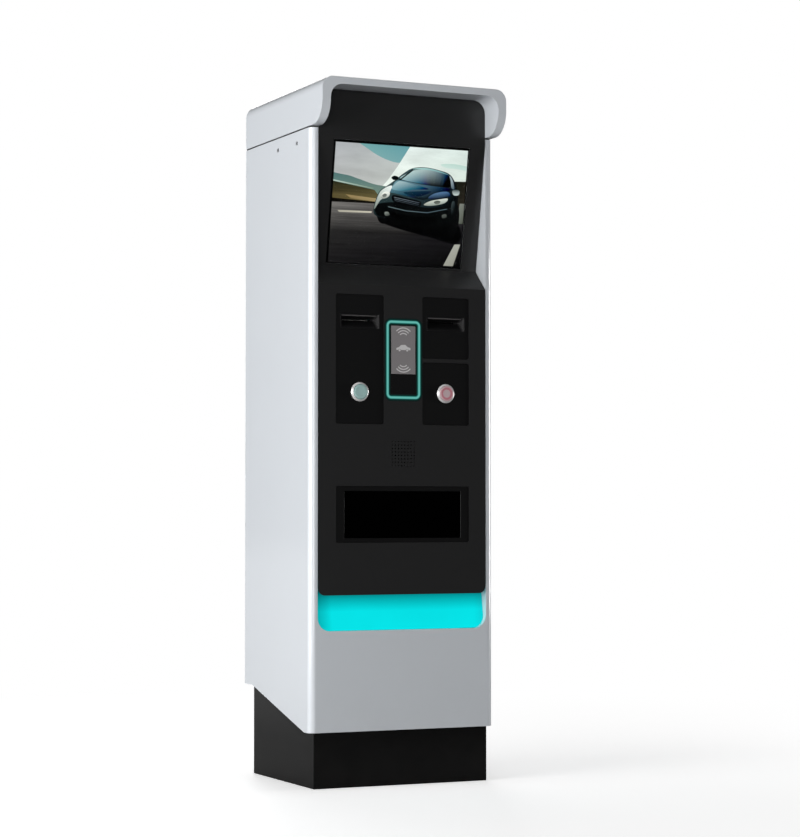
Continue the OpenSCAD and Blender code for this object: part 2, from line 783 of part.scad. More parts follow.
module equipment_plate() {
    outer = half_w - sheet - 0.4;
    color(steel) difference() {
        union() {
            block(-outer, outer, tray_y, tray_face, 205, 640);
            for (side = [-1, 1])
                block(min(side * outer, side * (outer - 2)), max(side * outer, side * (outer - 2)), tray_face, tray_face + 20, 205, 640);
            block(-160, 100, tray_face, rail_top - 1, rail_z - 12, rail_z + 12);
            block(-160, 100, rail_top - 1, rail_top, rail_z - 17.5, rail_z + 17.5);
        }
        rod_y(150, 250, tray_y - eps, tray_face + eps, 15);
        rod_y(150, 620, tray_y - eps, tray_face + eps, 12);
    }
}

module controller_board() {
    color(board_green) {
        block(10, 165, tray_face + 10, tray_face + 11.6, 400, 600);
        for (x = [16, 159]) for (z = [406, 594]) rod_y(x, z, tray_face, tray_face + 10, 3);
        block(60, 100, tray_face + 11.6, tray_face + 24, 490, 530);
        for (i = [0:4]) block(20 + i * 28, 40 + i * 28, tray_face + 11.6, tray_face + 24, 404, 416);
        for (i = [0:3]) block(24 + i * 34, 48 + i * 34, tray_face + 11.6, tray_face + 14, 440, 456);
        for (i = [0:2]) rod_y(130, 500 + i * 24, tray_face + 11.6, tray_face + 28, 6);
    }
}

module power_supply() {
    color(steel) difference() {
        block(-165, -55, tray_face, tray_face + 50, 420, 620);
        for (i = [0:8]) for (k = [0:5])
            rod_y(-150 + k * 16, 470 + i * 16, tray_face + 46, tray_face + 51, 3);
        block(-160, -60, tray_face + 30, tray_face + 51, 416, 440);
    }
}

breaker_x0 = -140;
breaker_x1 = -104;
lever_y = tray_face + 56;

module circuit_breaker() {
    color([0.88, 0.88, 0.86]) difference() {
        union() {
            block(breaker_x0, breaker_x1, rail_top, rail_top + 40, 262, 347);
            block(breaker_x0, breaker_x1, rail_top + 40, rail_top + 52, 282, 327);
        }
        block(-132, -112, lever_y - 9, rail_top + 53, rail_z - 14, rail_z + 14);
        rod_x(lever_y, rail_z, breaker_x0 - eps, breaker_x1 + eps, shaft_r + run);
        for (x = [-131, -113]) rod_y(x, 270, rail_top + 34, rail_top + 41, 3);
        for (x = [-131, -113]) rod_y(x, 339, rail_top + 34, rail_top + 41, 3);
    }
}

module breaker_lever() {
    color([0.1, 0.25, 0.6]) {
        rod_x(lever_y, rail_z, breaker_x0 + 2, breaker_x1 - 2, shaft_r);
        difference() {
            rod_x(lever_y, rail_z, -131.5, -112.5, 6);
            block(-133, -111, lever_y - 10, lever_y - 3.5, rail_z - 10, rail_z + 10);
        }
        translate([0, lever_y, rail_z]) rotate([-20, 0, 0]) block(-129, -115, 0, 13, -2, 2);
    }
}

module terminal_block() {
    color([0.75, 0.76, 0.74]) for (i = [0:7]) translate([-88 + i * 10, 0, 0]) difference() {
        block(0, 9.7, rail_top, rail_top + 34, 278, 330);
        rod_y(4.85, 286, rail_top + 26, rail_top + 35, 2.6);
        rod_y(4.85, 322, rail_top + 26, rail_top + 35, 2.6);
    }
}

// Cable routes inside the cabinet, clipped along the right-hand wall.
supply_route = [[-122, 83, 261.5], [-122, 83.5, 252], [-118, 84, 246], [-110, 84, 243], [-80, 84, 243], [-70, 84, 246],
    [-66, 83.5, 252], [-66, 83, 277.5]];
screen_route = [[24, 56, 600.8], [24, 57, 620], [32, 60, 645], [62, 62, 668], [120, 60, 688], [162, 40, 700], [177, 10, 722],
    [180, -10, 760], [180, -14, 900], [180, -20, 1050], [176, -40, 1120], [152, -62, 1150], [126, -80, 1160],
    [111, -96, 1163], [108, -109.6, 1163]];
reader_route = [[44, 56, 600.8], [44, 55, 620], [42, 48, 650], [34, 20, 690], [22, -30, 745], [12, -85, 800], [5, -122, 820],
    [0, -148, 824], [0, -160, 818], [0, -164.8, 809], [0, -165.2, 799.6]];

module wiring_loom() {
    color(deep_black) {
        sweep(supply_route, 5, 10);
        sweep(screen_route, 3.5, 8);
        sweep(reader_route, 3, 8);
    }
}

// ---- rear door -----------------------------------------------------------------------------

hinge_x = flange_x - 1;
hinge_y = rear_y + 5.5;
knuckle_r = 5;
hinge_z = [330, 720, 1110];
hinge_h = 80;
leaf_y1 = rear_y + 2.4;
lock_x = -155;
lock_z = 770;
barrel_r = 11;
fan_z = 1200;

module rear_door() {
    face = rear_y - sheet;
    color(silver) {
        difference() {
            block(-door_half, door_half, rear_y - door_fold, rear_y, door_z0, door_z1);
            block(-door_half + 1.5, door_half - 1.5, rear_y - door_fold - eps, face, door_z0 + 1.5, door_z1 - 1.5);
            for (z = [fan_z, 300]) for (i = [-4:4])
                block(-60, 60, face - eps, rear_y + eps, z + i * 10 - 2, z + i * 10 + 1.5);
            rod_y(lock_x, lock_z, face - eps, rear_y + eps, barrel_r + 0.3);
        }
        for (z = [fan_z, 300]) for (i = [-4:4])
            along_x([[rear_y, z + i * 10 + 7], [rear_y + 4, z + i * 10 + 2.5], [rear_y + 4, z + i * 10 + 1.5],
                [rear_y, z + i * 10 + 1.5]], -63, 63);
    }
}

// One hinge half: a leaf on the outside face and a knuckle joined to it by a short web.
module hinge_half(side, z, low) {
    z0 = low ? z : z + hinge_h / 2 + 0.3;
    z1 = low ? z + hinge_h / 2 - 0.3 : z + hinge_h;
    difference() {
        union() {
            translate([hinge_x, hinge_y, z0]) cylinder(h = z1 - z0, r = knuckle_r);
            translate([hinge_x, 0, 0]) scale([side, 1, 1]) block(0, 7, rear_y, leaf_y1, z0, z1);
            translate([hinge_x, 0, 0]) scale([side, 1, 1]) block(6, 19, rear_y, leaf_y1, z, z + hinge_h);
        }
        translate([hinge_x, hinge_y, z - eps]) cylinder(h = hinge_h + 2 * eps, r = hinge_pin_r + run);
    }
}

module hinge_frame_leaves() {
    color(steel) for (z = hinge_z) hinge_half(1, z, true);
}

module hinge_door_leaves() {
    color(steel) for (z = hinge_z) hinge_half(-1, z, false);
}

module hinge_pins() {
    color(steel) for (z = hinge_z) translate([hinge_x, hinge_y, z - 1]) cylinder(h = hinge_h + 2, r = hinge_pin_r);
}

plug_r = 7;

module lock_body() {
    color([0.7, 0.7, 0.72]) difference() {
        union() {
            turned_y(lock_x, rear_y, lock_z, [[0, 0], [15, 0], [15, 2.5], [13.5, 4], [0, 4]]);
            rod_y(lock_x, lock_z, rear_y - 18, rear_y + 0.5, barrel_r);
        }
        rod_y(lock_x, lock_z, rear_y - 20, rear_y + 6, plug_r + run);
    }
}

module lock_cam() {
    cam_y0 = frame_y - 5.5;
    color([0.75, 0.72, 0.6]) {
        difference() {
            rod_y(lock_x, lock_z, cam_y0, rear_y + 4.5, plug_r);
            block(lock_x - 0.8, lock_x + 0.8, rear_y - 6, rear_y + 6, lock_z - 4, lock_z + 4);
        }
        block(lock_x - 6, lock_x + 6, cam_y0, cam_y0 + 2.5, lock_z, lock_z + 32);
    }
}

fan_y0 = rear_y - sheet - 25;
fan_bore_r = 38;

module fan_frame() {
    color(black) {
        difference() {
            block(-40, 40, fan_y0, rear_y - sheet, fan_z - 40, fan_z + 40);
            rod_y(0, fan_z, fan_y0 - eps, rear_y, fan_bore_r);
            for (x = [-35.5, 35.5]) for (z = [-35.5, 35.5]) rod_y(x, fan_z + z, fan_y0 - eps, rear_y, 2.2);
        }
        for (a = [45, 135]) translate([0, fan_y0 + 1.5, fan_z]) rotate([0, a, 0]) cube([2 * fan_bore_r + 1, 3, 4], center = true);
        rod_y(0, fan_z, fan_y0, fan_y0 + 3, 14);
        rod_y(0, fan_z, fan_y0 + 3, fan_y0 + 12, 3);
    }
}

module fan_rotor() {
    color(black) difference() {
        union() {
            rod_y(0, fan_z, fan_y0 + 4, rear_y - sheet - 2, 15);
            for (i = [0:6]) translate([0, 0, fan_z]) rotate([0, i * 360 / 7, 0]) translate([0, fan_y0 + 13.5, 25])
                rotate([0, 0, 35]) cube([20, 1.6, 23], center = true);
        }
        rod_y(0, fan_z, fan_y0 + 3, fan_y0 + 13, 3 + run);
    }
}

// ---- the nodes -----------------------------------------------------------------------------

base_plate();
plinth();
cabinet_floor();
floor_grommet();
cabinet_shell();
rear_frame();
door_gasket();
canopy_gasket();
canopy();
canopy_screws();
fascia();
screen_glass();
lcd_panel();
lcd_housing();
ticket_plate();
ticket_mouth();
card_plate();
card_mouth();
intercom_plate();
reader_ring_light();
reader_window();
reader_label();
reader_icons();
reader_board();
led_frame();
led_window();
led_board();
light_bar_diffuser();
light_bar_strip();
speaker_basket();
speaker_cone();
button_bezels();
button_housings();
green_button_spring();
red_button_spring();
green_button_cap();
red_button_cap();
printer_chassis();
print_head();
paper_web();
platen_roller();
paper_roll();
card_reader_body();
card_feed_roller();
card_hopper();
equipment_plate();
controller_board();
power_supply();
circuit_breaker();
breaker_lever();
terminal_block();
wiring_loom();
hinge_frame_leaves();
hinge_pins();
rear_door();
hinge_door_leaves();
lock_body();
lock_cam();
fan_frame();
fan_rotor();
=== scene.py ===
"""Looks, light and camera for a parking pay station, built around its exact CAD frame."""

import json
import math

import bmesh
import bpy
from bpy.props import FloatProperty, FloatVectorProperty, IntProperty, PointerProperty
from bpy.types import Operator, Panel, PropertyGroup
from mathutils import Matrix, Vector


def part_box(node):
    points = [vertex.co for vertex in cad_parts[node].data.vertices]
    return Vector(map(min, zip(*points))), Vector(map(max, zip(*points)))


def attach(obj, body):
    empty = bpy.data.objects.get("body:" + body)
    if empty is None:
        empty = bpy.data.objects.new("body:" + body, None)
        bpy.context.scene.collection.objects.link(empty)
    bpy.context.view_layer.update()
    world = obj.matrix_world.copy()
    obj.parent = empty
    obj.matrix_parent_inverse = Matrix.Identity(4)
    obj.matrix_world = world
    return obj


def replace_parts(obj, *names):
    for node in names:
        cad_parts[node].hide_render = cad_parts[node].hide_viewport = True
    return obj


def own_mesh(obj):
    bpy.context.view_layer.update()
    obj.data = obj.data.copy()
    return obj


bl_info = {
    "name": "Parking Pay Station",
    "version": (1, 0, 0),
    "blender": (4, 5, 0),
    "location": "View3D > Sidebar > Pay Station",
    "description": "Builds the finished parts of a parking pay station around its CAD frame",
    "category": "Object",
}

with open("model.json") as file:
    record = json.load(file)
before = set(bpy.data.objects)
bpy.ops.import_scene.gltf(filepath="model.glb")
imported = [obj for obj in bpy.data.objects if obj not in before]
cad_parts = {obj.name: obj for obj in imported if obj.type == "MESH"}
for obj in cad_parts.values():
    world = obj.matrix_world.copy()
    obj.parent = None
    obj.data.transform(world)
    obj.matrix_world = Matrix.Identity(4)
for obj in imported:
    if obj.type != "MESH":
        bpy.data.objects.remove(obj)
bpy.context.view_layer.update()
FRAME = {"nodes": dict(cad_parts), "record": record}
MM = 0.001
NODE_SLOT = {row["node"]: row["material_slot"] for row in FRAME["record"]["subparts"]}
NODE_BODY = {
    node: body
    for body, nodes in FRAME["record"]["behaviour"]["bodies"].items()
    for node in nodes
}
FINISHES = {}

# Places that several pieces share, in metres unless the name says millimetres.
FASCIA_FRONT_MM = -179
PLATE_FRONT = -0.1775
BUTTON_X = 0.09625
BUTTON_Z = 0.794
TRAY_SHEET = 0.002
QUARTER = math.pi / 2


# ---- settings ------------------------------------------------------------------------------


def colour(name, description, value):
    return FloatVectorProperty(
        name=name, description=description, default=value, size=3, subtype="COLOR", min=0, max=4
    )


def number(name, description, value, **options):
    return FloatProperty(name=name, description=description, default=value, min=0, **options)


def length(name, description, value):
    return number(name, description, value, unit="LENGTH")


def power(name, description, value):
    return number(name, description, value, unit="POWER")


class PaintSettings(PropertyGroup):
    """Colours and coatings of the cabinet."""

    silver: colour("Silver", "Powder coat on the cabinet, canopy and door", (0.715, 0.75, 0.79))
    black: colour("Black", "Powder coat on the plinth", (0.0022, 0.0022, 0.0023))
    fascia: colour("Fascia", "Satin black of the folded fascia", (0.0185, 0.0185, 0.019))
    plates: colour("Plates", "Darker black of the recessed plates", (0.003, 0.003, 0.0033))
    mouth: colour("Mouth", "Black plastic of the ticket and card mouths", (0.009, 0.009, 0.0095))
    grain: number("Grain", "Powder grains per metre", 700)
    dust: number("Dust", "Dust near the floor", 0.35, max=1)
    wear: number("Wear", "Rubbed edges", 0.35, max=1)


class LightSettings(PropertyGroup):
    """The object's own lamps and lit faces."""

    cyan: colour("Light bar", "Colour of the lit bar", (0.0012, 0.73, 0.76))
    teal: colour("Reader ring", "Colour of the ring round the card reader", (0.13, 0.47, 0.42))
    bar_glow: number("Bar glow", "Strength of the bar", 0.95)
    ring_glow: number("Ring glow", "Strength of the ring", 0.95)
    screen_glow: number("Screen glow", "Strength of the screen", 1.12)


class DetailSettings(PropertyGroup):
    """Sizes of small parts."""

    sheet_edge: length("Sheet edge", "Rounding of the sheet-metal edges", 0.0005)
    cast_edge: length("Canopy edge", "Rounding of the canopy's edges", 0.0022)
    screw_radius: length("Screw radius", "Radius of the small screw heads", 0.0032)
    dot_pitch: length("Dot pitch", "Spacing of the message display's dots", 0.004)
    chip_seed: IntProperty(name="Chip seed", description="Layout of the small chips", default=7)


class StageSettings(PropertyGroup):
    """Floor, lamps and camera."""

    floor: colour("Floor", "Colour of the floor", (0.9, 0.9, 0.9))
    key_power: power("Key", "Main softbox on the left", 120)
    front_power: power("Front", "Wide softbox at the front left", 76)
    right_power: power("Right", "Weak softbox on the right", 48)
    rear_power: power("Rear", "Weak softbox behind", 42)
    top_power: power("Top", "Softbox overhead", 15)
    fill: number("Fill", "Brightness of the surroundings", 0.055)


def settings():
    return bpy.context.scene.pay_station


class StationSettings(PropertyGroup):
    """Everything a user would change."""

    paint: PointerProperty(type=PaintSettings)
    lights: PointerProperty(type=LightSettings)
    details: PointerProperty(type=DetailSettings)
    stage: PointerProperty(type=StageSettings)


# ---- node trees ----------------------------------------------------------------------------


def feed(tree, node, inputs):
    """Sets a node's inputs. An input that is a socket gets linked."""
    for key, value in inputs.items():
        if isinstance(value, bpy.types.NodeSocket):
            tree.links.new(value, node.inputs[key])
        else:
            node.inputs[key].default_value = value
    return node


def add(tree, kind, inputs=None, **options):
    """A new node with its options and inputs set."""
    node = tree.nodes.new(kind)
    for key, value in options.items():
        setattr(node, key, value)
    return feed(tree, node, inputs or {})


def maths(tree, operation, *values):
    return add(tree, "ShaderNodeMath", dict(enumerate(values)), operation=operation).outputs[0]


def times(tree, first, second):
    return maths(tree, "MULTIPLY", first, second)


def blend(tree, amount, first, second, mode="MIX"):
    """Mixes two colours."""
    inputs = {0: amount, 6: first, 7: second}
    return add(tree, "ShaderNodeMix", inputs, data_type="RGBA", blend_type=mode).outputs[2]


def noise(tree, place, scale, detail, roughness=0.5):
    inputs = {"Vector": place, "Scale": scale, "Detail": detail, "Roughness": roughness}
    return add(tree, "ShaderNodeTexNoise", inputs).outputs[0]


def object_place(tree):
    return add(tree, "ShaderNodeTexCoord").outputs["Object"]


def axes_of(tree, vector):
    return add(tree, "ShaderNodeSeparateXYZ", {0: vector}).outputs


def span(tree, value, low, high, to_low=0.0, to_high=1.0):
    """Maps low..high onto to_low..to_high."""
    inputs = {0: value, 1: low, 2: high, 3: to_low, 4: to_high}
    return add(tree, "ShaderNodeMapRange", inputs).outputs[0]


def new_group(name, kind, inputs, outputs):
    """A node group with named sockets, and its input and output nodes."""
    group = bpy.data.node_groups.new(name, kind)
    for io, sockets in (("INPUT", inputs), ("OUTPUT", outputs)):
        for label, socket_type, value in sockets:
            socket = group.interface.new_socket(label, in_out=io,
                socket_type="NodeSocket" + socket_type)
            if value is not None:
                socket.default_value = value
    return group, group.nodes.new("NodeGroupInput"), group.nodes.new("NodeGroupOutput")


def grain_group(name):
    """Fine bumps of a powder coat or a moulding, and slow changes of tone."""
    group, given, made = new_group(
        name,
        "ShaderNodeTree",
        [("Vector", "Vector", None), ("Scale", "Float", 600.0), ("Tone", "Float", 0.05), ("Stretch",
            "Vector", (1, 1, 1))],
        [("Height", "Float", None), ("Tone", "Float", None)],
    )
    vectors = {0: given.outputs["Vector"], 1: given.outputs["Stretch"]}
    drawn = add(group, "ShaderNodeVectorMath", vectors, operation="MULTIPLY").outputs[0]
    fine = noise(group, drawn, given.outputs["Scale"], 2.0)
    slow = noise(group, given.outputs["Vector"], 9.0, 4.0)
    speck = times(group, maths(group, "SUBTRACT", fine, 0.5), 0.35)
    both = maths(group, "ADD", maths(group, "SUBTRACT", slow, 0.5), speck)
    tone = times(group, both, given.outputs["Tone"])
    feed(group, made, {"Height": fine, "Tone": maths(group, "ADD", tone, 1.0)})
    return group


def wear_group(name):
    """A mask of rubbed places along edges."""
    group, given, made = new_group(
        name,
        "ShaderNodeTree",
        [("Vector", "Vector", None), ("Amount", "Float", 0.3), ("Radius", "Float", 0.0012)],
        [("Mask", "Float", None)],
    )
    soft = add(group, "ShaderNodeBevel", {"Radius": given.outputs["Radius"]}, samples=4)
    true = add(group, "ShaderNodeNewGeometry").outputs["Normal"]
    normals = {0: soft.outputs[0], 1: true}
    dot = add(group, "ShaderNodeVectorMath", normals, operation="DOT_PRODUCT")
    edge = span(group, dot.outputs["Value"], 0.995, 0.8)
    patchy = noise(group, given.outputs["Vector"], 60.0, 5.0)
    mask = times(group, edge, span(group, patchy, 0.45, 0.7))
    feed(group, made, {"Mask": times(group, mask, given.outputs["Amount"])})
    return group


def dust_group(name):
    """A film of dust that gathers on upward faces and near the floor."""
    group, given, made = new_group(
        name,
        "ShaderNodeTree",
        [("Vector", "Vector", None), ("Amount", "Float", 0.3), ("Reach", "Float", 0.25)],
        [("Mask", "Float", None)],
    )
    height = axes_of(group, given.outputs["Vector"])["Z"]
    low = maths(group, "POWER", span(group, height, given.outputs["Reach"], 0.0), 1.6)
    up = axes_of(group, add(group, "ShaderNodeNewGeometry").outputs["Normal"])["Z"]
    settled = times(group, span(group, up, 0.6, 1.0), 0.45)
    patchy = noise(group, given.outputs["Vector"], 26.0, 6.0, 0.65)
    film = times(group, maths(group, "MAXIMUM", low, settled), span(group, patchy, 0.3, 0.75))
    feed(group, made, {"Mask": times(group, film, given.outputs["Amount"])})
    return group


SHARED_GROUPS = {"Surface Grain": grain_group, "Edge Wear": wear_group, "Dust Film": dust_group}


def use(tree, name, inputs):
    """A node of a shared group, which is built when it is first asked for."""
    group = bpy.data.node_groups.get(name) or SHARED_GROUPS[name](name)
    return add(tree, "ShaderNodeGroup", inputs, node_tree=group)


def new_material(name):
    """A new material with its node tree and main shader."""
    material = bpy.data.materials.new(name)
    material.use_nodes = True
    return material, *main_shader(material)


def main_shader(material):
    return material.node_tree, material.node_tree.nodes["Principled BSDF"]


DUST_COLOUR = (0.34, 0.32, 0.29, 1)
DUST_ROUGHENING = 0.4
BUMP_HEIGHT = 0.001
COAT_ROUGHNESS = 0.1


def finish(
    name,
    base,
    rough,
    grain,
    depth,
    tone,
    metal=0.0,
    coat=0.0,
    stretch=(1, 1, 1),
    dust=0.0,
    wear=0.0,
    worn=(0.5, 0.5, 0.5),
    specular=0.5,
    clear=0.0,
    bend=1.45,
):
    """A surface with grain in its height, tone and gloss, and dust or rubbed edges on request."""
    material, tree, shader = new_material(name)
    place = object_place(tree)
    grained = {"Vector": place, "Scale": grain, "Tone": tone, "Stretch": stretch}
    skin = use(tree, "Surface Grain", grained).outputs
    shade = blend(tree, 1.0, (*base, 1), skin["Tone"], "MULTIPLY")
    gloss = times(tree, skin["Tone"], rough)
    if wear:
        mask = use(tree, "Edge Wear", {"Vector": place, "Amount": wear}).outputs["Mask"]
        shade = blend(tree, mask, shade, (*worn, 1))
    if dust:
        mask = use(tree, "Dust Film", {"Vector": place, "Amount": dust}).outputs["Mask"]
        shade = blend(tree, mask, shade, DUST_COLOUR)
        gloss = maths(tree, "ADD", gloss, times(tree, mask, DUST_ROUGHENING))
    raised = {"Strength": depth, "Distance": BUMP_HEIGHT, "Height": skin["Height"]}
    bump = add(tree, "ShaderNodeBump", raised)
    feed(
        tree,
        shader,
        {
            "Base Color": shade,
            "Roughness": gloss,
            "Normal": bump.outputs[0],
            "Metallic": metal,
            "Coat Weight": coat,
            "Coat Roughness": COAT_ROUGHNESS,
            "Specular IOR Level": specular,
            "Transmission Weight": clear,
            "IOR": bend,
        },
    )
    FINISHES[name] = material
    return material


# The light bar's painted shade under the fascia and at its ends, each with the place where it
# starts, where it ends, and both levels.
BAR_SHADE_UNDER_FASCIA = (0.352, 0.392, 1.0, 0.2)
BAR_LEFT_END_SHADE = (-0.187, -0.152, 0.5, 1.0)
BAR_RIGHT_END_SHADE = (0.186, 0.168, 0.85, 1.0)


def glow(material, tint, strength):
    """Lights the bar from behind, with painted shade under the fascia and at its ends."""
    tree, shader = main_shader(material)
    place = object_place(tree)
    even = span(tree, noise(tree, place, 14.0, 2.0), 0.2, 0.8, 0.96, 1.04)
    axes = axes_of(tree, place)
    # Painted shade: the bar's light is darkened where the fascia overhangs it and towards both
    # ends.
    under = span(tree, axes["Z"], *BAR_SHADE_UNDER_FASCIA)
    ends = times(tree, span(tree, axes["X"], *BAR_LEFT_END_SHADE), span(tree, axes["X"], *BAR_RIGHT_END_SHADE))
    level = times(tree, even, times(tree, under, ends))
    light = blend(tree, 1.0, (*tint, 1), level, "MULTIPLY")
    feed(tree, shader, {"Emission Color": light, "Emission Strength": strength})


# Painted light on the right-hand wall inside each mouth: how far right of the button's line it
# lies, where it starts and ends fading, and its colour.
MOUTH_LIT_WALL_OFFSET = 0.0402
MOUTH_LIT_WALL_HALF = (0.0026, 0.0034)
MOUTH_WALL_PAINTED_LIGHT = (0.05, 0.049, 0.05, 1)


def mouth_finish(name, base):
    """Moulded black with painted light on the right-hand wall in each mouth."""
    material = finish(name, base, 0.36, 1100, 0.05, 0.06, specular=0.3)
    tree, shader = main_shader(material)
    was = shader.inputs["Base Color"].links[0].from_socket
    across = axes_of(tree, object_place(tree))["X"]
    lit_walls = []
    for middle in (-BUTTON_X, BUTTON_X):
        off = maths(tree, "ABSOLUTE", maths(tree, "SUBTRACT", across, middle + MOUTH_LIT_WALL_OFFSET))
        lit_walls.append(span(tree, off, *MOUTH_LIT_WALL_HALF, 1.0, 0.0))
    mask = maths(tree, "MAXIMUM", *lit_walls)
    # Painted light: the right-hand wall of each mouth is made lighter, as lamps from the left would
    # light it.
    feed(tree, shader, {"Base Color": blend(tree, mask, was, MOUTH_WALL_PAINTED_LIGHT)})


def ring_finish(name, strength):
    """Black plastic that emits the colour stored in the ring's mesh: the ring's light, painted
    shade on its sides and painted light spilling round it.
    """
    material = finish(name, (0.006, 0.012, 0.012), 0.4, 900, 0.03, 0.05, specular=0.2)
    tree, shader = main_shader(material)
    ink = add(tree, "ShaderNodeVertexColor", layer_name="ink").outputs[0]
    feed(tree, shader, {"Emission Color": ink, "Emission Strength": strength})


BOARD_FACE = (0.0518, 0.0520)
PLUG_HEIGHT = (0.421, 0.419)
TRACKS_PER_METRE = 140
PLUG_COLOUR = (0.62, 0.6, 0.52, 1)
CHIP_COLOUR = (0.03, 0.03, 0.032, 1)
TRACK_COLOUR = (0.06, 0.32, 0.16, 1)
PAD_COLOUR = (0.62, 0.5, 0.28, 1)


def board_finish(name, base):
    """Green solder mask with pale tracks and pads, and dark or pale parts standing off it."""
    material = finish(name, base, 0.3, 900, 0.05, 0.1, coat=0.3)
    tree, shader = main_shader(material)
    was = shader.inputs["Base Color"].links[0].from_socket
    place = object_place(tree)
    turned = {"Vector": place, "Rotation": (QUARTER, 0, 0), "Scale": [TRACKS_PER_METRE] * 3}
    drawn = add(tree, "ShaderNodeMapping", turned).outputs[0]
    bricks = {"Vector": drawn, "Scale": 1.0, "Bias": 0.0, "Brick Width": 1.7, "Row Height": 0.35}
    bricks.update({"Mortar Size": 0.045, "Mortar Smooth": 0.2})
    tracks = add(tree, "ShaderNodeTexBrick", bricks)
    pads = add(tree, "ShaderNodeTexVoronoi", {"Vector": drawn, "Scale": 0.9}, feature="F1")
    pad = span(tree, pads.outputs["Distance"], 0.16, 0.12)
    tracked = blend(tree, times(tree, tracks.outputs["Fac"], 0.7), was, TRACK_COLOUR)
    bare = blend(tree, pad, tracked, PAD_COLOUR)
    axes = axes_of(tree, place)
    part = blend(tree, span(tree, axes["Z"], *PLUG_HEIGHT), CHIP_COLOUR, PLUG_COLOUR)
    proud = span(tree, axes["Y"], *BOARD_FACE)
    feed(tree, shader, {"Base Color": blend(tree, proud, bare, part)})


# ---- shared ways of making pieces ------------------------------------------------------------


def mesh_from(work, name):
    """Ends a mesh under work."""
    mesh = bpy.data.meshes.new(name)
    work.to_mesh(mesh)
    work.free()
    return mesh


def join_loops(work, first, second):
    """Faces between two closed loops with the same number of corners."""
    count = len(first)
    for i in range(count):
        k = (i + 1) % count
        work.faces.new([first[i], first[k], second[k], second[i]])


def mesh_object(name, mesh, body, slot, finish_name=None):
    """Puts a mesh in the scene as a piece that rides on a body."""
    piece = bpy.data.objects.new(name, mesh)
    bpy.context.scene.collection.objects.link(piece)
    if not mesh.materials:
        mesh.materials.append(FINISHES[finish_name or slot])
    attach(piece, body)
    return piece


def settle(piece):
    """Turns a piece with modifiers into a plain mesh."""
    graph = bpy.context.evaluated_depsgraph_get()
    mesh = bpy.data.meshes.new_from_object(piece.evaluated_get(graph))
    piece.modifiers.clear()
    piece.data = mesh


# Limits for a CAD node's copy: welding distance in metres, and angles in degrees.
WELD_GAP = 2e-6
FLAT_ANGLE = 0.4
SHARP_ANGLE = 32


def shade(piece, angle=38.0):
    """Smooth shading with flat faces kept flat."""
    for face in piece.data.polygons:
        face.use_smooth = True
    piece.data.set_sharp_from_angle(angle=math.radians(angle))
    even = piece.modifiers.new("even", "WEIGHTED_NORMAL")
    even.keep_sharp = True
    settle(piece)


def round_edges(piece, width, steps, **options):
    bevel = piece.modifiers.new("edges", "BEVEL")
    bevel.width, bevel.segments = width, steps
    for key, value in options.items():
        setattr(bevel, key, value)
    settle(piece)


def rounded(node, name, edge, steps=2):
    """A copy of a CAD node with its sharp edges rounded. It stands for the node."""
    work = bmesh.new()
    work.from_mesh(FRAME["nodes"][node].data)
    bmesh.ops.remove_doubles(work, verts=work.verts, dist=WELD_GAP)
    flat = math.radians(FLAT_ANGLE)
    bmesh.ops.dissolve_limit(work, angle_limit=flat, verts=work.verts, edges=work.edges)
    piece = mesh_object(name, mesh_from(work, name), NODE_BODY[node], NODE_SLOT[node])
    if edge:
        limit = math.radians(SHARP_ANGLE)
        round_edges(piece, edge, steps, limit_method="ANGLE", angle_limit=limit)
    shade(piece)
    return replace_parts(piece, node)


def rounded_set(*rows):
    """Rounded copies, each row with the node, the piece's name, the edge and its steps."""
    for node, name, edge, steps in rows:
        rounded(node, name, edge, steps)


def lathe(name, body, slot, centre, profile, zones, steps=64):
    """A round part turned about a line along Y. zones gives a finish up to each radius."""
    work = bmesh.new()
    rings = []
    for radius, depth in profile:
        ring = []
        for i in range(steps if radius > 0 else 1):
            turn = 2 * math.pi * i / steps
            at = Vector((radius * math.cos(turn), depth, radius * math.sin(turn)))
            ring.append(work.verts.new(centre + at))
        rings.append(ring)
    for (r0, _), (r1, _), first, second in zip(profile, profile[1:], rings, rings[1:]):
        zone = next(i for i, row in enumerate(zones) if (r0 + r1) / 2 <= row[0])
        for i in range(steps):
            k = (i + 1) % steps
            corners = [first[i % len(first)], first[k % len(first)]]
            corners += [second[k % len(second)], second[i % len(second)]]
            face = work.faces.new(list(dict.fromkeys(corners)))
            face.material_index = zone
    bmesh.ops.recalc_face_normals(work, faces=work.faces)
    mesh = mesh_from(work, name)
    for _, finish_name in zones:
        mesh.materials.append(FINISHES[finish_name])
    piece = mesh_object(name, mesh, body, slot)
    shade(piece, 34)
    return piece


# ---- geometry trees --------------------------------------------------------------------------


def geometry_group(name, inputs):
    sockets = [("Geometry", "Geometry", None)] + inputs + [("Finish", "Material", None)]
    return new_group(name, "GeometryNodeTree", sockets, [("Geometry", "Geometry", None)])


def close_tree(group, given, made, geometry):
    """Ends a tree in real, finished geometry."""
    real = add(group, "GeometryNodeRealizeInstances", {0: geometry})
    smooth = add(group, "GeometryNodeSetShadeSmooth", {0: real.outputs[0], 2: False})
    painted = add(group, "GeometryNodeSetMaterial", {0: smooth.outputs[0],
        "Material": given.outputs["Finish"]})
    group.links.new(painted.outputs[0], made.inputs["Geometry"])
    return group


def on_points(group, points, shape, **more):
    """Sets a shape on every point."""
    inputs = {"Points": points, "Instance": shape, **more}
    return add(group, "GeometryNodeInstanceOnPoints", inputs).outputs[0]


def same_xyz(group, value):
    return add(group, "ShaderNodeCombineXYZ", {0: value, 1: value, 2: value}).outputs[0]


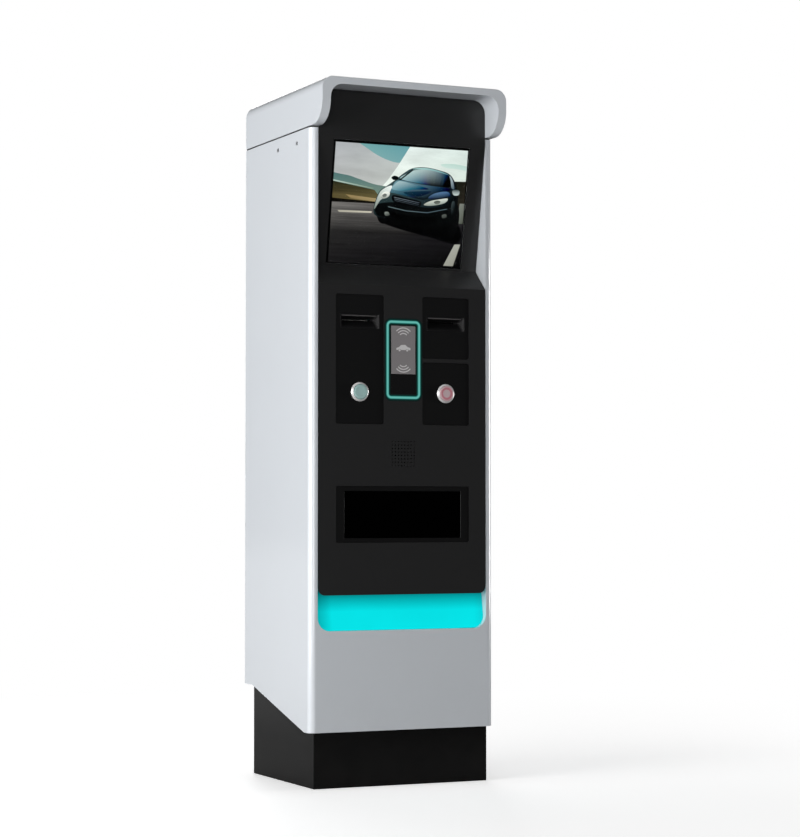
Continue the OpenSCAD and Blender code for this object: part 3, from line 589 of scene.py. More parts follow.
def point_grid(group, columns, rows, pitch):
    """A flat grid of points about the origin."""
    wide = times(group, maths(group, "SUBTRACT", columns, 1.0), pitch)
    tall = times(group, maths(group, "SUBTRACT", rows, 1.0), pitch)
    inputs = {"Size X": wide, "Size Y": tall, "Vertices X": columns, "Vertices Y": rows}
    return add(group, "GeometryNodeMeshGrid", inputs).outputs[0]


def stand_and_close(group, given, made, geometry, turn=QUARTER):
    """Turns geometry about X, sets it on every point given, and ends the tree."""
    turned = {"Geometry": geometry, "Rotation": (turn, 0, 0)}
    stood = add(group, "GeometryNodeTransform", turned).outputs[0]
    return close_tree(group, given, made, on_points(group, given.outputs["Geometry"], stood))


def screw_tree():
    """A socket screw head on every point, its axis along the points' facing."""
    group, given, made = geometry_group(
        "Screw Heads",
        [("Radius", "Float", 0.003), ("Height", "Float", 0.0016), ("Turn", "Rotation", None)],
    )
    taper, socket_width, socket_depth = 0.82, 0.55, 0.6
    radius, height, turn = (given.outputs[k] for k in ("Radius", "Height", "Turn"))
    top = times(group, radius, taper)
    inputs = {"Vertices": 20, "Radius Top": top, "Radius Bottom": radius, "Depth": height}
    head = add(group, "GeometryNodeMeshCone", inputs).outputs
    inputs = {"Mesh": head["Mesh"], "Selection": head["Top"], "Offset Scale": 0.0}
    rim = add(group, "GeometryNodeExtrudeMesh", inputs).outputs
    inputs = {"Geometry": rim["Mesh"], "Selection": rim["Top"], "Scale": socket_width}
    hole = add(group, "GeometryNodeScaleElements", inputs).outputs[0]
    down = times(group, height, -socket_depth)
    inputs = {"Mesh": hole, "Selection": rim["Top"], "Offset Scale": down}
    sunk = add(group, "GeometryNodeExtrudeMesh", inputs).outputs["Mesh"]
    heads = on_points(group, given.outputs["Geometry"], sunk, Rotation=turn)
    return close_tree(group, given, made, heads)


def dot_tree():
    """Small lens domes on a grid of points."""
    group, given, made = geometry_group(
        "Dot Matrix",
        [("Columns", "Int", 64), ("Rows", "Int", 16), ("Pitch", "Float", 0.004), ("Radius", "Float",
            0.0015)],
    )
    grid = point_grid(group, *(given.outputs[k] for k in ("Columns", "Rows", "Pitch")))
    inputs = {"Segments": 8, "Rings": 4, "Radius": given.outputs["Radius"]}
    dome = add(group, "GeometryNodeMeshUVSphere", inputs).outputs[0]
    return stand_and_close(group, given, made, on_points(group, grid, dome))


def ring_tree():
    """Wire rings, each a step larger than the last, for a fan guard."""
    group, given, made = geometry_group(
        "Guard Rings",
        [("Rings", "Int", 5), ("Step", "Float", 0.007), ("Wire", "Float", 0.0008)],
    )
    rings, step, thick = (given.outputs[k] for k in ("Rings", "Step", "Wire"))
    line = add(group, "GeometryNodeMeshLine", {"Count": rings, "Offset": (0, 0, 0)}).outputs[0]
    index = add(group, "GeometryNodeInputIndex").outputs[0]
    size = times(group, maths(group, "ADD", index, 1.0), step)
    circle, wire = (
        add(group, "GeometryNodeCurvePrimitiveCircle", {"Resolution": sides, "Radius": radius})
        for sides, radius in ((48, 1.0), (6, thick))
    )
    circles = on_points(group, line, circle.outputs[0], Scale=same_xyz(group, size))
    real = add(group, "GeometryNodeRealizeInstances", {0: circles}).outputs[0]
    inputs = {"Curve": real, "Profile Curve": wire.outputs[0]}
    wires = add(group, "GeometryNodeCurveToMesh", inputs).outputs[0]
    return stand_and_close(group, given, made, wires)


def chip_tree():
    """Small chips of random size on a board's grid, some left out."""
    group, given, made = geometry_group(
        "Board Chips",
        [("Columns", "Int", 12), ("Rows", "Int", 14), ("Pitch", "Float", 0.01), ("Seed", "Int", 1)],
    )
    left_out, smallest, largest = 0.45, (0.25, 0.25, 0.12), (0.85, 0.7, 0.3)
    columns, rows, pitch, seed = (given.outputs[k] for k in ("Columns", "Rows", "Pitch", "Seed"))
    grid = point_grid(group, columns, rows, pitch)
    inputs = {"Probability": left_out, "Seed": seed}
    pick = add(group, "FunctionNodeRandomValue", inputs, data_type="BOOLEAN").outputs[3]
    thin = add(group, "GeometryNodeDeleteGeometry", {"Geometry": grid,
        "Selection": pick}).outputs[0]
    inputs = {0: smallest, 1: largest, "Seed": seed}
    size = add(group, "FunctionNodeRandomValue", inputs, data_type="FLOAT_VECTOR").outputs[0]
    chip = add(group, "GeometryNodeMeshCube", {"Size": same_xyz(group, pitch)}).outputs[0]
    chips = on_points(group, thin, chip, Scale=size)
    return stand_and_close(group, given, made, chips, -QUARTER)


def grow(name, tree, points, values, body, slot):
    """Runs a geometry tree on a list of points and keeps the result as a plain mesh."""
    mesh = bpy.data.meshes.new(name)
    mesh.from_pydata([tuple(p) for p in points], [], [])
    piece = bpy.data.objects.new(name, mesh)
    bpy.context.scene.collection.objects.link(piece)
    modifier = piece.modifiers.new("tree", "NODES")
    modifier.node_group = tree
    values = {**values, "Finish": FINISHES[slot]}
    for item in tree.interface.items_tree:
        if item.item_type == "SOCKET" and item.in_out == "INPUT" and item.name in values:
            modifier[item.identifier] = values[item.name]
    settle(piece)
    if not piece.data.polygons:
        raise RuntimeError(f"{name} came out empty")
    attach(piece, body)
    return piece


# ---- operators -------------------------------------------------------------------------------


MATERIALS = [
    # The lip's finish is much lighter than the mouth's black: a painted highlight along the lip
    # where it catches the light.
    ("mouth_lip", (0.11, 0.106, 0.107), 0.36, 1100, 0.04, 0.05),
    ("black_rubber", (0.016, 0.016, 0.016), 0.75, 1500, 0.15, 0.2, dict(dust=0.15)),
    ("zinc_steel", (0.52, 0.53, 0.55), 0.34, 160, 0.04, 0.22, dict(metal=1.0)),
    ("spring_steel", (0.46, 0.46, 0.48), 0.28, 900, 0.03, 0.1, dict(metal=1.0)),
    ("display_case", (0.42, 0.43, 0.44), 0.4, 220, 0.04, 0.12, dict(metal=1.0, stretch=(1, 1, 12))),
    ("reader_gloss", (0.006, 0.006, 0.0065), 0.12, 300, 0.006, 0.1, dict(coat=0.4)),
    ("label_grey", (0.255, 0.24, 0.245), 0.5, 1400, 0.03, 0.05),
    ("icon_white", (0.7, 0.69, 0.69), 0.5, 1400, 0.02, 0.04),
    ("frame_black", (0.004, 0.004, 0.0042), 0.4, 1000, 0.06, 0.08, dict(specular=0.3)),
    ("smoked_window", (0.0001, 0.0001, 0.0001), 0.3, 120, 0.004, 0.2, dict(specular=0.02)),
    ("led_strip", (0.8, 0.81, 0.79), 0.4, 900, 0.03, 0.04),
    ("speaker_black", (0.02, 0.02, 0.02), 0.5, 1000, 0.08, 0.1),
    ("cone_paper", (0.05, 0.05, 0.05), 0.85, 1800, 0.25, 0.25),
    ("bezel_metal", (0.82, 0.81, 0.81), 0.26, 420, 0.02, 0.05, dict(metal=0.35, coat=0.3)),
    ("switch_black", (0.025, 0.025, 0.025), 0.45, 900, 0.08, 0.1),
    ("button_green", (0.4, 0.6, 0.58), 0.28, 300, 0.02, 0.04, dict(coat=0.3)),
    ("button_red", (0.62, 0.24, 0.29), 0.28, 300, 0.02, 0.04, dict(coat=0.3)),
    ("button_pale", (0.72, 0.5, 0.53), 0.3, 300, 0.02, 0.03, dict(coat=0.2)),
    ("button_rose", (0.64, 0.5, 0.52), 0.3, 300, 0.02, 0.04, dict(coat=0.3)),
    ("head_grey", (0.09, 0.09, 0.1), 0.45, 900, 0.08, 0.1),
    ("ticket_paper", (0.82, 0.82, 0.78), 0.7, 1200, 0.08, 0.05, dict(stretch=(1, 5, 5))),
    ("platen_rubber", (0.035, 0.035, 0.035), 0.7, 1500, 0.12, 0.15),
    ("reader_grey", (0.1, 0.105, 0.11), 0.45, 900, 0.08, 0.1),
    ("hopper_grey", (0.28, 0.285, 0.3), 0.48, 900, 0.08, 0.08),
    ("supply_case", (0.55, 0.56, 0.57), 0.36, 200, 0.05, 0.12, dict(metal=1.0, stretch=(1, 1, 14))),
    ("breaker_white", (0.68, 0.68, 0.65), 0.42, 900, 0.05, 0.04),
    ("lever_blue", (0.02, 0.07, 0.32), 0.35, 900, 0.04, 0.06),
    ("terminal_grey", (0.45, 0.46, 0.44), 0.45, 900, 0.05, 0.06),
    ("cable_black", (0.02, 0.02, 0.021), 0.5, 1200, 0.1, 0.12),
    ("lock_chrome", (0.72, 0.72, 0.73), 0.14, 300, 0.01, 0.05, dict(metal=1.0)),
    ("cam_steel", (0.5, 0.48, 0.4), 0.34, 260, 0.04, 0.15, dict(metal=1.0)),
    ("fan_black", (0.02, 0.02, 0.02), 0.42, 900, 0.06, 0.1),
    ("front_glass", (0.96, 0.98, 0.98), 0.03, 30, 0.0, 0.02, dict(clear=1.0, bend=1.1)),
    ("screen_picture", (0.03, 0.035, 0.04), 0.4, 900, 0.02, 0.05),
    ("cyan_diffuser", (0.0, 0.12, 0.13), 0.4, 1200, 0.05, 0.05, dict(specular=0.1)),
]


class PAYSTATION_OT_finishes(Operator):
    """Make every finish, and give one to each CAD node"""

    bl_idname = "pay_station.finishes"
    bl_label = "Finishes"

    def execute(self, context):
        paint, lights = settings().paint, settings().lights
        grain, wear = paint.grain, paint.wear
        dusty = dict(dust=paint.dust * 0.5, wear=wear * 0.4, worn=(0.9, 0.9, 0.9), coat=1.0)
        finish("silver_paint", paint.silver, 0.32, grain, 0.05, 0.025, **dusty)
        dusty = dict(dust=paint.dust * 0.06, wear=wear * 0.4, worn=(0.05, 0.05, 0.05))
        finish("black_paint", paint.black, 0.2, grain, 0.05, 0.08, specular=0.3, **dusty)
        rubbed = dict(wear=wear * 0.3, worn=(0.06, 0.06, 0.06))
        finish("fascia_black", paint.fascia, 0.4, grain, 0.06, 0.06, specular=0.35, **rubbed)
        finish("module_black", paint.plates, 0.42, 900, 0.08, 0.08, specular=0.35)
        mouth_finish("mouth_black", paint.mouth)
        board_finish("board_green", (0.018, 0.14, 0.07))
        for row in MATERIALS:
            finish(*row[:6], **dict(*row[6:]))
        glow(FINISHES["cyan_diffuser"], lights.cyan, lights.bar_glow)
        ring_finish("teal_light", lights.ring_glow)
        for node, piece in FRAME["nodes"].items():
            piece.data.materials.clear()
            piece.data.materials.append(FINISHES[NODE_SLOT[node]])
        return {"FINISHED"}


class PAYSTATION_OT_cabinet(Operator):
    """Cabinet sheet, plinth and rear frame with rounded edges"""

    bl_idname = "pay_station.cabinet"
    bl_label = "Cabinet"

    def execute(self, context):
        edge = settings().details.sheet_edge
        rounded_set(
            ("cabinet_shell", "cabinet_sheet", edge, 2),
            ("rear_frame", "rear_frame_sheet", edge, 1),
            ("plinth", "plinth_box", edge * 2, 2),
        )
        return {"FINISHED"}


class PAYSTATION_OT_canopy(Operator):
    """Hooded canopy with rounded edges"""

    bl_idname = "pay_station.canopy"
    bl_label = "Canopy"

    def execute(self, context):
        rounded("canopy", "canopy_hood", settings().details.cast_edge, 3)
        return {"FINISHED"}


class PAYSTATION_OT_fascia(Operator):
    """Folded fascia, recessed plates and the ticket and card mouths"""

    bl_idname = "pay_station.fascia"
    bl_label = "Fascia"

    def execute(self, context):
        edge = settings().details.sheet_edge
        rounded_set(
            ("fascia", "fascia_sheet", edge, 2),
            ("ticket_plate", "ticket_plate_face", edge, 2),
            ("card_plate", "card_plate_face", edge, 2),
            ("intercom_plate", "intercom_plate_face", edge, 2),
            ("ticket_mouth", "ticket_mouth_throat", edge, 2),
            ("card_mouth", "card_mouth_throat", edge, 2),
        )
        for name, x in (("ticket_mouth_lip", -BUTTON_X), ("card_mouth_lip", BUTTON_X)):
            slot_lip(name, x)
        return {"FINISHED"}


LIP_CENTRE = Vector((-0.001, -0.1746, 0.9482))
LIP_SIZE = Vector((0.0745, 0.0024, 0.0022))


def slot_lip(name, x):
    """A thin rounded strip across the mouth, over its slot, coloured light as a painted highlight.
    """
    work = bmesh.new()
    bmesh.ops.create_cube(work, size=1)
    for vert in work.verts:
        vert.co = Vector((x, 0, 0)) + LIP_CENTRE + vert.co * LIP_SIZE
    piece = mesh_object(name, mesh_from(work, name), "cabinet", "mouth_black", "mouth_lip")
    round_edges(piece, 0.0008, 3)
    shade(piece)


# The screen's plane: its foot, and the directions across, up and into the cabinet.
TILT = math.atan2(44, 260)
SCREEN_FOOT = Vector((0, -0.135, 1.052))
ACROSS = Vector((1, 0, 0))
UPWARD = Vector((0, -math.sin(TILT), math.cos(TILT)))
INWARD = Vector((0, math.cos(TILT), math.sin(TILT)))
PICTURE_LEFT, PICTURE_RIGHT = -0.1475, 0.1505
PICTURE_FOOT, PICTURE_HEAD = 0.006, 0.2495
PICTURE_BACK = 0.00398
LAYER_GAP = 0.000015


def on_screen(s, t, depth):
    """A point of the picture: s runs left to right and t top to bottom, both 0 to 1."""
    across = PICTURE_LEFT + s * (PICTURE_RIGHT - PICTURE_LEFT)
    up = PICTURE_HEAD - t * (PICTURE_HEAD - PICTURE_FOOT)
    return SCREEN_FOOT + ACROSS * across + UPWARD * up + INWARD * depth


def smooth_loop(points, steps=6):
    """A closed curve through the points."""
    made, count = [], len(points)
    for i in range(count):
        a, b, c, d = (Vector(points[(i + k - 1) % count]) for k in range(4))
        for j in range(steps):
            t = j / steps
            square, cube = 2 * a - 5 * b + 4 * c - d, 3 * b - a - 3 * c + d
            made.append(0.5 * (2 * b + (c - a) * t + square * t**2 + cube * t**3))
    return made


# Shapes of the picture, back to front: finish, curved or not, corners, and the shades at the
# top left, the top right and the bottom left of the shape's box.
PICTURE = [
    ("sky", False, [(0, 0), (0.7, 0), (0.7, 0.5), (0, 0.5)], (166, 168, 171), (180, 186, 184), (184,
     184, 180)),
    ("ink", True, [(0.16, -0.05), (0.27, 0.06), (0.4, 0.125), (0.5, 0.135), (0.56, 0.06), (0.58,
     -0.05)], (112, 160, 160), (92, 148, 156), (128, 168, 166)),
    ("sky", False, [(0.555, 0), (1, 0), (1, 0.5), (0.3, 0.5), (0.37, 0.34), (0.405, 0.29), (0.475,
     0.165)], (232, 240, 236), (212, 224, 218), (226, 232, 222)),
    ("ink", True, [(0.8, 0.13), (0.9, 0.12), (1.02, 0.14), (1.02, 0.17), (0.92, 0.16), (0.84,
     0.155)], (186, 212, 202), (176, 204, 194), (200, 220, 212)),
    ("ink", True, [(-0.1, 0.265), (0.08, 0.266), (0.18, 0.292), (0.3, 0.33), (0.45, 0.36), (0.45,
     0.46), (-0.1, 0.46)], (78, 112, 110), (84, 110, 104), (116, 140, 130)),
    ("ink", False, [(0, 0.312), (0.3, 0.362), (0.3, 0.371), (0, 0.323)], (176, 196, 186), (120, 140,
     120), (176, 196, 186)),
    ("road", False, [(0, 0.323), (0.31, 0.378), (0.4, 0.5), (0, 0.5)], (34, 38, 26), (56, 56, 38),
     (96, 84, 54)),
    ("road", False, [(0.1, 0.43), (0.34, 0.45), (0.34, 0.476), (0.14, 0.46)], (140, 120, 80), (164,
     144, 102), (120, 102, 70)),
    ("ink", False, [(0, 0.463), (0.34, 0.478), (0.34, 0.5), (0, 0.5)], (16, 15, 11), (22, 20, 15),
     (16, 15, 12)),
    ("road", False, [(0.86, 0.27), (1, 0.262), (1, 0.66), (0.86, 0.66)], (20, 30, 24), (34, 32, 26),
     (44, 44, 38)),
    ("road", False, [(0, 0.73), (1, 0.73), (1, 1), (0, 1)], (40, 39, 39), (26, 25, 27), (30, 29,
     30)),
    ("road", False, [(0, 0.495), (0.34, 0.492), (1, 0.53), (1, 0.74), (0, 0.74)], (108, 105, 102),
     (64, 62, 64), (38, 37, 37)),
    ("ink", False, [(0.045, 0.563), (0.3, 0.558), (0.3, 0.572), (0.06, 0.579)], (178, 172, 156),
     (196, 190, 172), (160, 156, 142)),
    ("ink", False, [(0.965, 0.45), (1, 0.45), (1, 0.62), (0.955, 0.62)], (124, 128, 120), (110, 114,
     106), (96, 100, 92)),
    ("ink", False, [(0.872, 0.985), (0.947, 0.8), (0.992, 0.797), (0.947, 0.985)], (172, 172, 162),
     (160, 160, 150), (150, 150, 140)),
    ("ink", True, [(0.36, 0.61), (0.5, 0.6), (0.9, 0.6), (0.99, 0.7), (0.95, 0.795), (0.75, 0.748),
     (0.56, 0.705), (0.4, 0.655)], (5, 5, 6), (5, 5, 6), (6, 6, 7)),
    # tyres
    ("ink", True, [(0.335, 0.555), (0.38, 0.55), (0.41, 0.6), (0.4, 0.656), (0.358, 0.636)], (9, 9,
     10), (12, 12, 13), (6, 6, 7)),
    ("ink", True, [(0.88, 0.45), (0.93, 0.43), (0.965, 0.51), (0.965, 0.64), (0.93, 0.735), (0.885,
     0.7), (0.87, 0.56)], (9, 10, 11), (16, 17, 18), (5, 5, 6)),
    # body
    ("ink", True, [(0.312, 0.555), (0.325, 0.46), (0.35, 0.385), (0.405, 0.335), (0.46, 0.285),
     (0.52, 0.225), (0.585, 0.178), (0.68, 0.163), (0.79, 0.18), (0.87, 0.208), (0.915, 0.27),
     (0.94, 0.35), (0.948, 0.46), (0.93, 0.58), (0.885, 0.655), (0.75, 0.68), (0.56, 0.655), (0.42,
     0.612), (0.34, 0.596)], (70, 92, 94), (24, 40, 50), (4, 6, 6)),
    ("ink", True, [(0.33, 0.5), (0.5, 0.47), (0.7, 0.5), (0.88, 0.47), (0.945, 0.4), (0.944, 0.5),
     (0.925, 0.59), (0.88, 0.65), (0.75, 0.675), (0.56, 0.65), (0.42, 0.606), (0.34, 0.585)], (14,
     17, 18), (16, 19, 20), (3, 4, 4)),
    ("ink", True, [(0.585, 0.184), (0.68, 0.168), (0.79, 0.185), (0.865, 0.214), (0.79, 0.2), (0.68,
     0.186)], (168, 204, 198), (120, 160, 162), (150, 188, 184)),
    # windscreen and its near pillar
    ("ink", True, [(0.5, 0.272), (0.545, 0.226), (0.6, 0.194), (0.7, 0.184), (0.8, 0.2), (0.866,
     0.226), (0.886, 0.315), (0.78, 0.314), (0.64, 0.3)], (206, 230, 224), (26, 52, 76), (112, 150,
     160)),
    ("ink", False, [(0.488, 0.282), (0.586, 0.186), (0.598, 0.19), (0.503, 0.283)], (26, 36, 38),
     (30, 40, 42), (18, 26, 28)),
    ("ink", True, [(0.872, 0.22), (0.9, 0.262), (0.915, 0.33), (0.893, 0.32), (0.882, 0.26)], (176,
     192, 196), (150, 166, 172), (110, 124, 132)),
    # bonnet
    ("ink", True, [(0.425, 0.385), (0.445, 0.33), (0.49, 0.286), (0.65, 0.308), (0.8, 0.322),
     (0.888, 0.33), (0.86, 0.36), (0.8, 0.378), (0.74, 0.408), (0.68, 0.436), (0.57, 0.416), (0.46,
     0.395)], (112, 150, 160), (30, 54, 82), (40, 80, 94)),
    ("ink", True, [(0.44, 0.36), (0.46, 0.32), (0.5, 0.292), (0.6, 0.312), (0.72, 0.344), (0.6,
     0.356), (0.5, 0.372)], (176, 200, 202), (56, 96, 112), (110, 150, 160)),
    ("ink", True, [(0.53, 0.385), (0.62, 0.37), (0.74, 0.362), (0.68, 0.4), (0.6, 0.41)], (24, 60,
     76), (16, 36, 58), (14, 42, 56)),
    ("ink", True, [(0.72, 0.418), (0.77, 0.376), (0.86, 0.356), (0.888, 0.388), (0.86, 0.406),
     (0.78, 0.424)], (112, 150, 184), (64, 96, 136), (30, 46, 74)),
    # near wing with its lamp
    ("ink", True, [(0.318, 0.54), (0.33, 0.46), (0.355, 0.39), (0.4, 0.348), (0.44, 0.336), (0.425,
     0.39), (0.405, 0.43), (0.36, 0.46)], (206, 214, 204), (232, 238, 234), (112, 124, 116)),
    ("ink", True, [(0.355, 0.43), (0.385, 0.39), (0.425, 0.392), (0.418, 0.428), (0.38, 0.447)],
     (246, 246, 236), (236, 238, 230), (150, 154, 146)),
    ("ink", True, [(0.372, 0.42), (0.39, 0.405), (0.405, 0.412), (0.398, 0.43), (0.38, 0.435)], (70,
     76, 74), (90, 96, 92), (120, 124, 118)),
    # plain slatted air opening
    ("ink", True, [(0.452, 0.412), (0.56, 0.43), (0.662, 0.452), (0.655, 0.497), (0.56, 0.49),
     (0.46, 0.468)], (8, 9, 13), (10, 11, 16), (5, 5, 7)),
    ("ink", False, [(0.46, 0.427), (0.655, 0.462), (0.655, 0.466), (0.46, 0.431)], (120, 132, 138),
     (96, 108, 116), (110, 120, 128)),
    ("ink", False, [(0.464, 0.441), (0.653, 0.476), (0.653, 0.48), (0.464, 0.445)], (100, 110, 118),
     (76, 86, 94), (90, 100, 108)),
    ("ink", False, [(0.468, 0.455), (0.65, 0.489), (0.65, 0.492), (0.468, 0.458)], (80, 90, 96),
     (60, 68, 74), (70, 80, 86)),
    # far lamp
    ("ink", True, [(0.69, 0.476), (0.735, 0.445), (0.8, 0.426), (0.868, 0.414), (0.852, 0.45),
     (0.79, 0.474), (0.725, 0.484)], (240, 240, 226), (206, 212, 202), (150, 156, 146)),
    ("ink", True, [(0.765, 0.45), (0.79, 0.436), (0.815, 0.442), (0.806, 0.462), (0.78, 0.467)],
     (60, 66, 62), (80, 86, 80), (104, 108, 100)),
    # bumper, lower opening and small lamps
    ("ink", False, [(0.42, 0.508), (0.56, 0.534), (0.72, 0.54), (0.87, 0.5), (0.87, 0.505), (0.72,
     0.547), (0.56, 0.541), (0.42, 0.514)], (104, 122, 124), (90, 110, 118), (84, 98, 100)),
    ("ink", True, [(0.45, 0.555), (0.6, 0.582), (0.79, 0.58), (0.765, 0.632), (0.6, 0.636), (0.47,
     0.606)], (3, 3, 4), (3, 3, 4), (5, 5, 6)),
    ("ink", True, [(0.398, 0.56), (0.425, 0.556), (0.435, 0.582), (0.405, 0.588)], (136, 142, 136),
     (110, 116, 110), (90, 94, 90)),
    ("ink", True, [(0.835, 0.556), (0.865, 0.548), (0.868, 0.574), (0.84, 0.582)], (96, 100, 96),
     (84, 88, 84), (64, 68, 64)),
    ("ink", True, [(0.905, 0.44), (0.925, 0.44), (0.93, 0.52), (0.91, 0.56), (0.9, 0.5)], (62, 72,
     74), (40, 48, 50), (20, 24, 25)),
    # mirrors
    ("ink", True, [(0.43, 0.268), (0.45, 0.25), (0.478, 0.256), (0.482, 0.276), (0.45, 0.286)], (14,
     24, 27), (10, 18, 20), (6, 12, 14)),
    ("ink", True, [(0.9, 0.35), (0.925, 0.334), (0.955, 0.345), (0.95, 0.378), (0.915, 0.382)], (34,
     46, 48), (60, 72, 74), (190, 202, 198)),
]


# Unevenness laid over a shape: stretch along each axis, detail, and the darkest and lightest level.
PICTURE_NOISE = {"sky": ((12, 12, 40), 4.0, 0.86, 1.1), "road": ((10, 10, 300), 3.0, 0.7, 1.3)}


def picture_finish(kind):
    """Emits the colour stored in the shapes, with cloud or speed streaks laid over it."""
    material, tree, shader = new_material("picture_" + kind)
    ink = add(tree, "ShaderNodeVertexColor", layer_name="ink").outputs[0]
    if kind in PICTURE_NOISE:
        stretch, detail, dark, light = PICTURE_NOISE[kind]
        stretched = {"Vector": object_place(tree), "Scale": stretch}
        drawn = add(tree, "ShaderNodeMapping", stretched).outputs[0]
        level = span(tree, noise(tree, drawn, 1.0, detail), 0.3, 0.7, dark, light)
        ink = blend(tree, 1.0, ink, level, "MULTIPLY")
    dull = {"Base Color": (0.002, 0.002, 0.002, 1), "Roughness": 0.5, "Specular IOR Level": 0.05}
    lit = {"Emission Color": ink, "Emission Strength": settings().lights.screen_glow}
    feed(tree, shader, {**dull, **lit})
    return material


def shade_of(tint):
    """A display shade from 0 to 255 as light."""
    return Vector([(value / 255) ** 2.2 for value in tint])


def clip_to_screen(loop):
    return [(min(max(p[0], 0), 1), min(max(p[1], 0), 1)) for p in loop]


def border(outer, inner, depth):
    """The black print on the back of the glass, between two rectangles."""
    work = bmesh.new()
    rows = []
    for (x0, z0), (x1, z1) in (outer, inner):
        corners = [(x0, z0), (x1, z0), (x1, z1), (x0, z1)]
        rows.append([work.verts.new(SCREEN_FOOT + ACROSS * x + UPWARD * z + INWARD * depth) for x,
            z in corners])
    join_loops(work, *rows)
    bmesh.ops.solidify(work, geom=work.faces[:], thickness=0.0003)
    bmesh.ops.recalc_face_normals(work, faces=work.faces)
    mesh = mesh_from(work, "screen_border")
    mesh_object("screen_border", mesh, "cabinet", "fascia_black", "module_black")


class PAYSTATION_OT_screen(Operator):
    """Leaning display: glass, and a plain picture of a car on a country road"""

    bl_idname = "pay_station.screen"
    bl_label = "Screen"

    def execute(self, context):
        kinds = ["sky", "road", "ink"]
        finishes = [picture_finish(kind) for kind in kinds]
        work = bmesh.new()
        ink = work.loops.layers.float_color.new("ink")
        for i, (kind, curved, corners, *shades) in enumerate(PICTURE):
            loop = clip_to_screen(smooth_loop(corners) if curved else corners)
            loop = [p for p, q in zip(loop,
                loop[1:] + loop[:1]) if (Vector(p) - Vector(q)).length > 1e-6]
            depth = PICTURE_BACK - LAYER_GAP * i
            verts = [work.verts.new(on_screen(s, t, depth)) for s, t in loop]
            face = work.faces.new(verts)
            face.normal_update()
            if face.normal.dot(INWARD) > 0:
                face.normal_flip()
            face.material_index = kinds.index(kind)
            low = [min(p[axis] for p in loop) for axis in (0, 1)]
            size = [max(p[axis] for p in loop) - low[axis] for axis in (0, 1)]
            place = {vert: [(p[axis] - low[axis]) / size[axis] for axis in (0, 1)] for vert,
                p in zip(verts, loop)}
            left, right, foot = (shade_of(tint) for tint in shades)
            for corner in face.loops:
                across, down = place[corner.vert]
                tint = left + (right - left) * across + (foot - left) * down
                corner[ink] = (*(max(value, 0) for value in tint), 1)
        bmesh.ops.triangulate(work, faces=work.faces)
        mesh = mesh_from(work, "screen_picture")
        for material in finishes:
            mesh.materials.append(material)
        mesh_object("screen_scene", mesh, "cabinet", "screen_picture")
        outer = ((-0.1525, 0.0045), (0.1525, 0.2545))
        inner = ((PICTURE_LEFT, PICTURE_FOOT), (PICTURE_RIGHT, PICTURE_HEAD))
        border(outer, inner, 0.0032)
        rounded("screen_glass", "screen_cover", 0.0003, 1)
        return {"FINISHED"}


# Sections of a button's cap and rim in millimetres: radius, and depth behind the plate's front.
CAP = [(0, -5.5), (4, -5.6), (7.2, -5.75), (8.0, -5.85), (8.3, -5.4), (8.6, -5.4), (8.9, -5.9)]
CAP += [(10.5, -6.0), (12.2, -6.0), (12.6, -5.9), (13.4, -5.8), (14.2, -5.5), (14.6, -4.9)]
CAP += [(14.6, 9.5), (4, 9.5), (4, 38), (0, 38)]
RIM = [(14.9, 17.4), (14.9, -3.3), (15.2, -3.95), (15.8, -4.2), (16.6, -4.0), (18.2, -3.0)]
RIM += [(19.2, -1.6), (19.5, -0.9), (19.5, 0.0), (16.8, 0.0), (16.8, 17.4), (14.9, 17.4)]
RIM_LENS_RADIUS = 0.0158
EVERYWHERE = 99


def in_metres(section):
    return [(radius * MM, depth * MM) for radius, depth in section]


class PAYSTATION_OT_buttons(Operator):
    """Two push buttons, each with a dished cap, a halo and a metal bezel"""

    bl_idname = "pay_station.buttons"
    bl_label = "Buttons"

    def execute(self, context):
        rows = [
            ("green", -BUTTON_X, [(EVERYWHERE, "button_green")]),
            ("red", BUTTON_X, [(8.2, "button_rose"), (12.9, "button_red"), (EVERYWHERE,
             "button_pale")]),
        ]
        for tint, x, zones in rows:
            centre = Vector((x, PLATE_FRONT, BUTTON_Z))
            zones = [(radius * MM, name) for radius, name in zones]
            slot = f"button_{tint}"
            piece = lathe(f"{tint}_button_face", f"{tint}_button", slot, centre, in_metres(CAP),
                zones)
            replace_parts(piece, f"{tint}_button_cap")
            zones = [(RIM_LENS_RADIUS, zones[-1][1]), (EVERYWHERE, "bezel_metal")]
            ring = lathe(f"{tint}_button_rim", "cabinet", "bezel_metal", centre, in_metres(RIM),
                zones)
            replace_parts(ring, "button_bezels")
            coil = rounded(f"{tint}_button_spring", f"{tint}_button_coil", 0)
            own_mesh(coil)
        return {"FINISHED"}


RING_CORNER = 0.011
SMALLEST_CORNER = 0.0004


def ring_loop(inset, centre, half_x, half_z, radius, steps=8):
    """A rounded rectangle in X and Z, drawn in by inset, as a list of points."""
    turn_r = max(radius - inset, SMALLEST_CORNER)
    across, up = half_x - inset - turn_r, half_z - inset - turn_r
    points = []
    for quarter, (sx, sz) in enumerate(((1, 1), (-1, 1), (-1, -1), (1, -1))):
        for i in range(steps + 1):
            turn = math.pi / 2 * (quarter + i / steps)
            points.append((sx * across + turn_r * math.cos(turn),
                centre + sz * up + turn_r * math.sin(turn)))
    return points


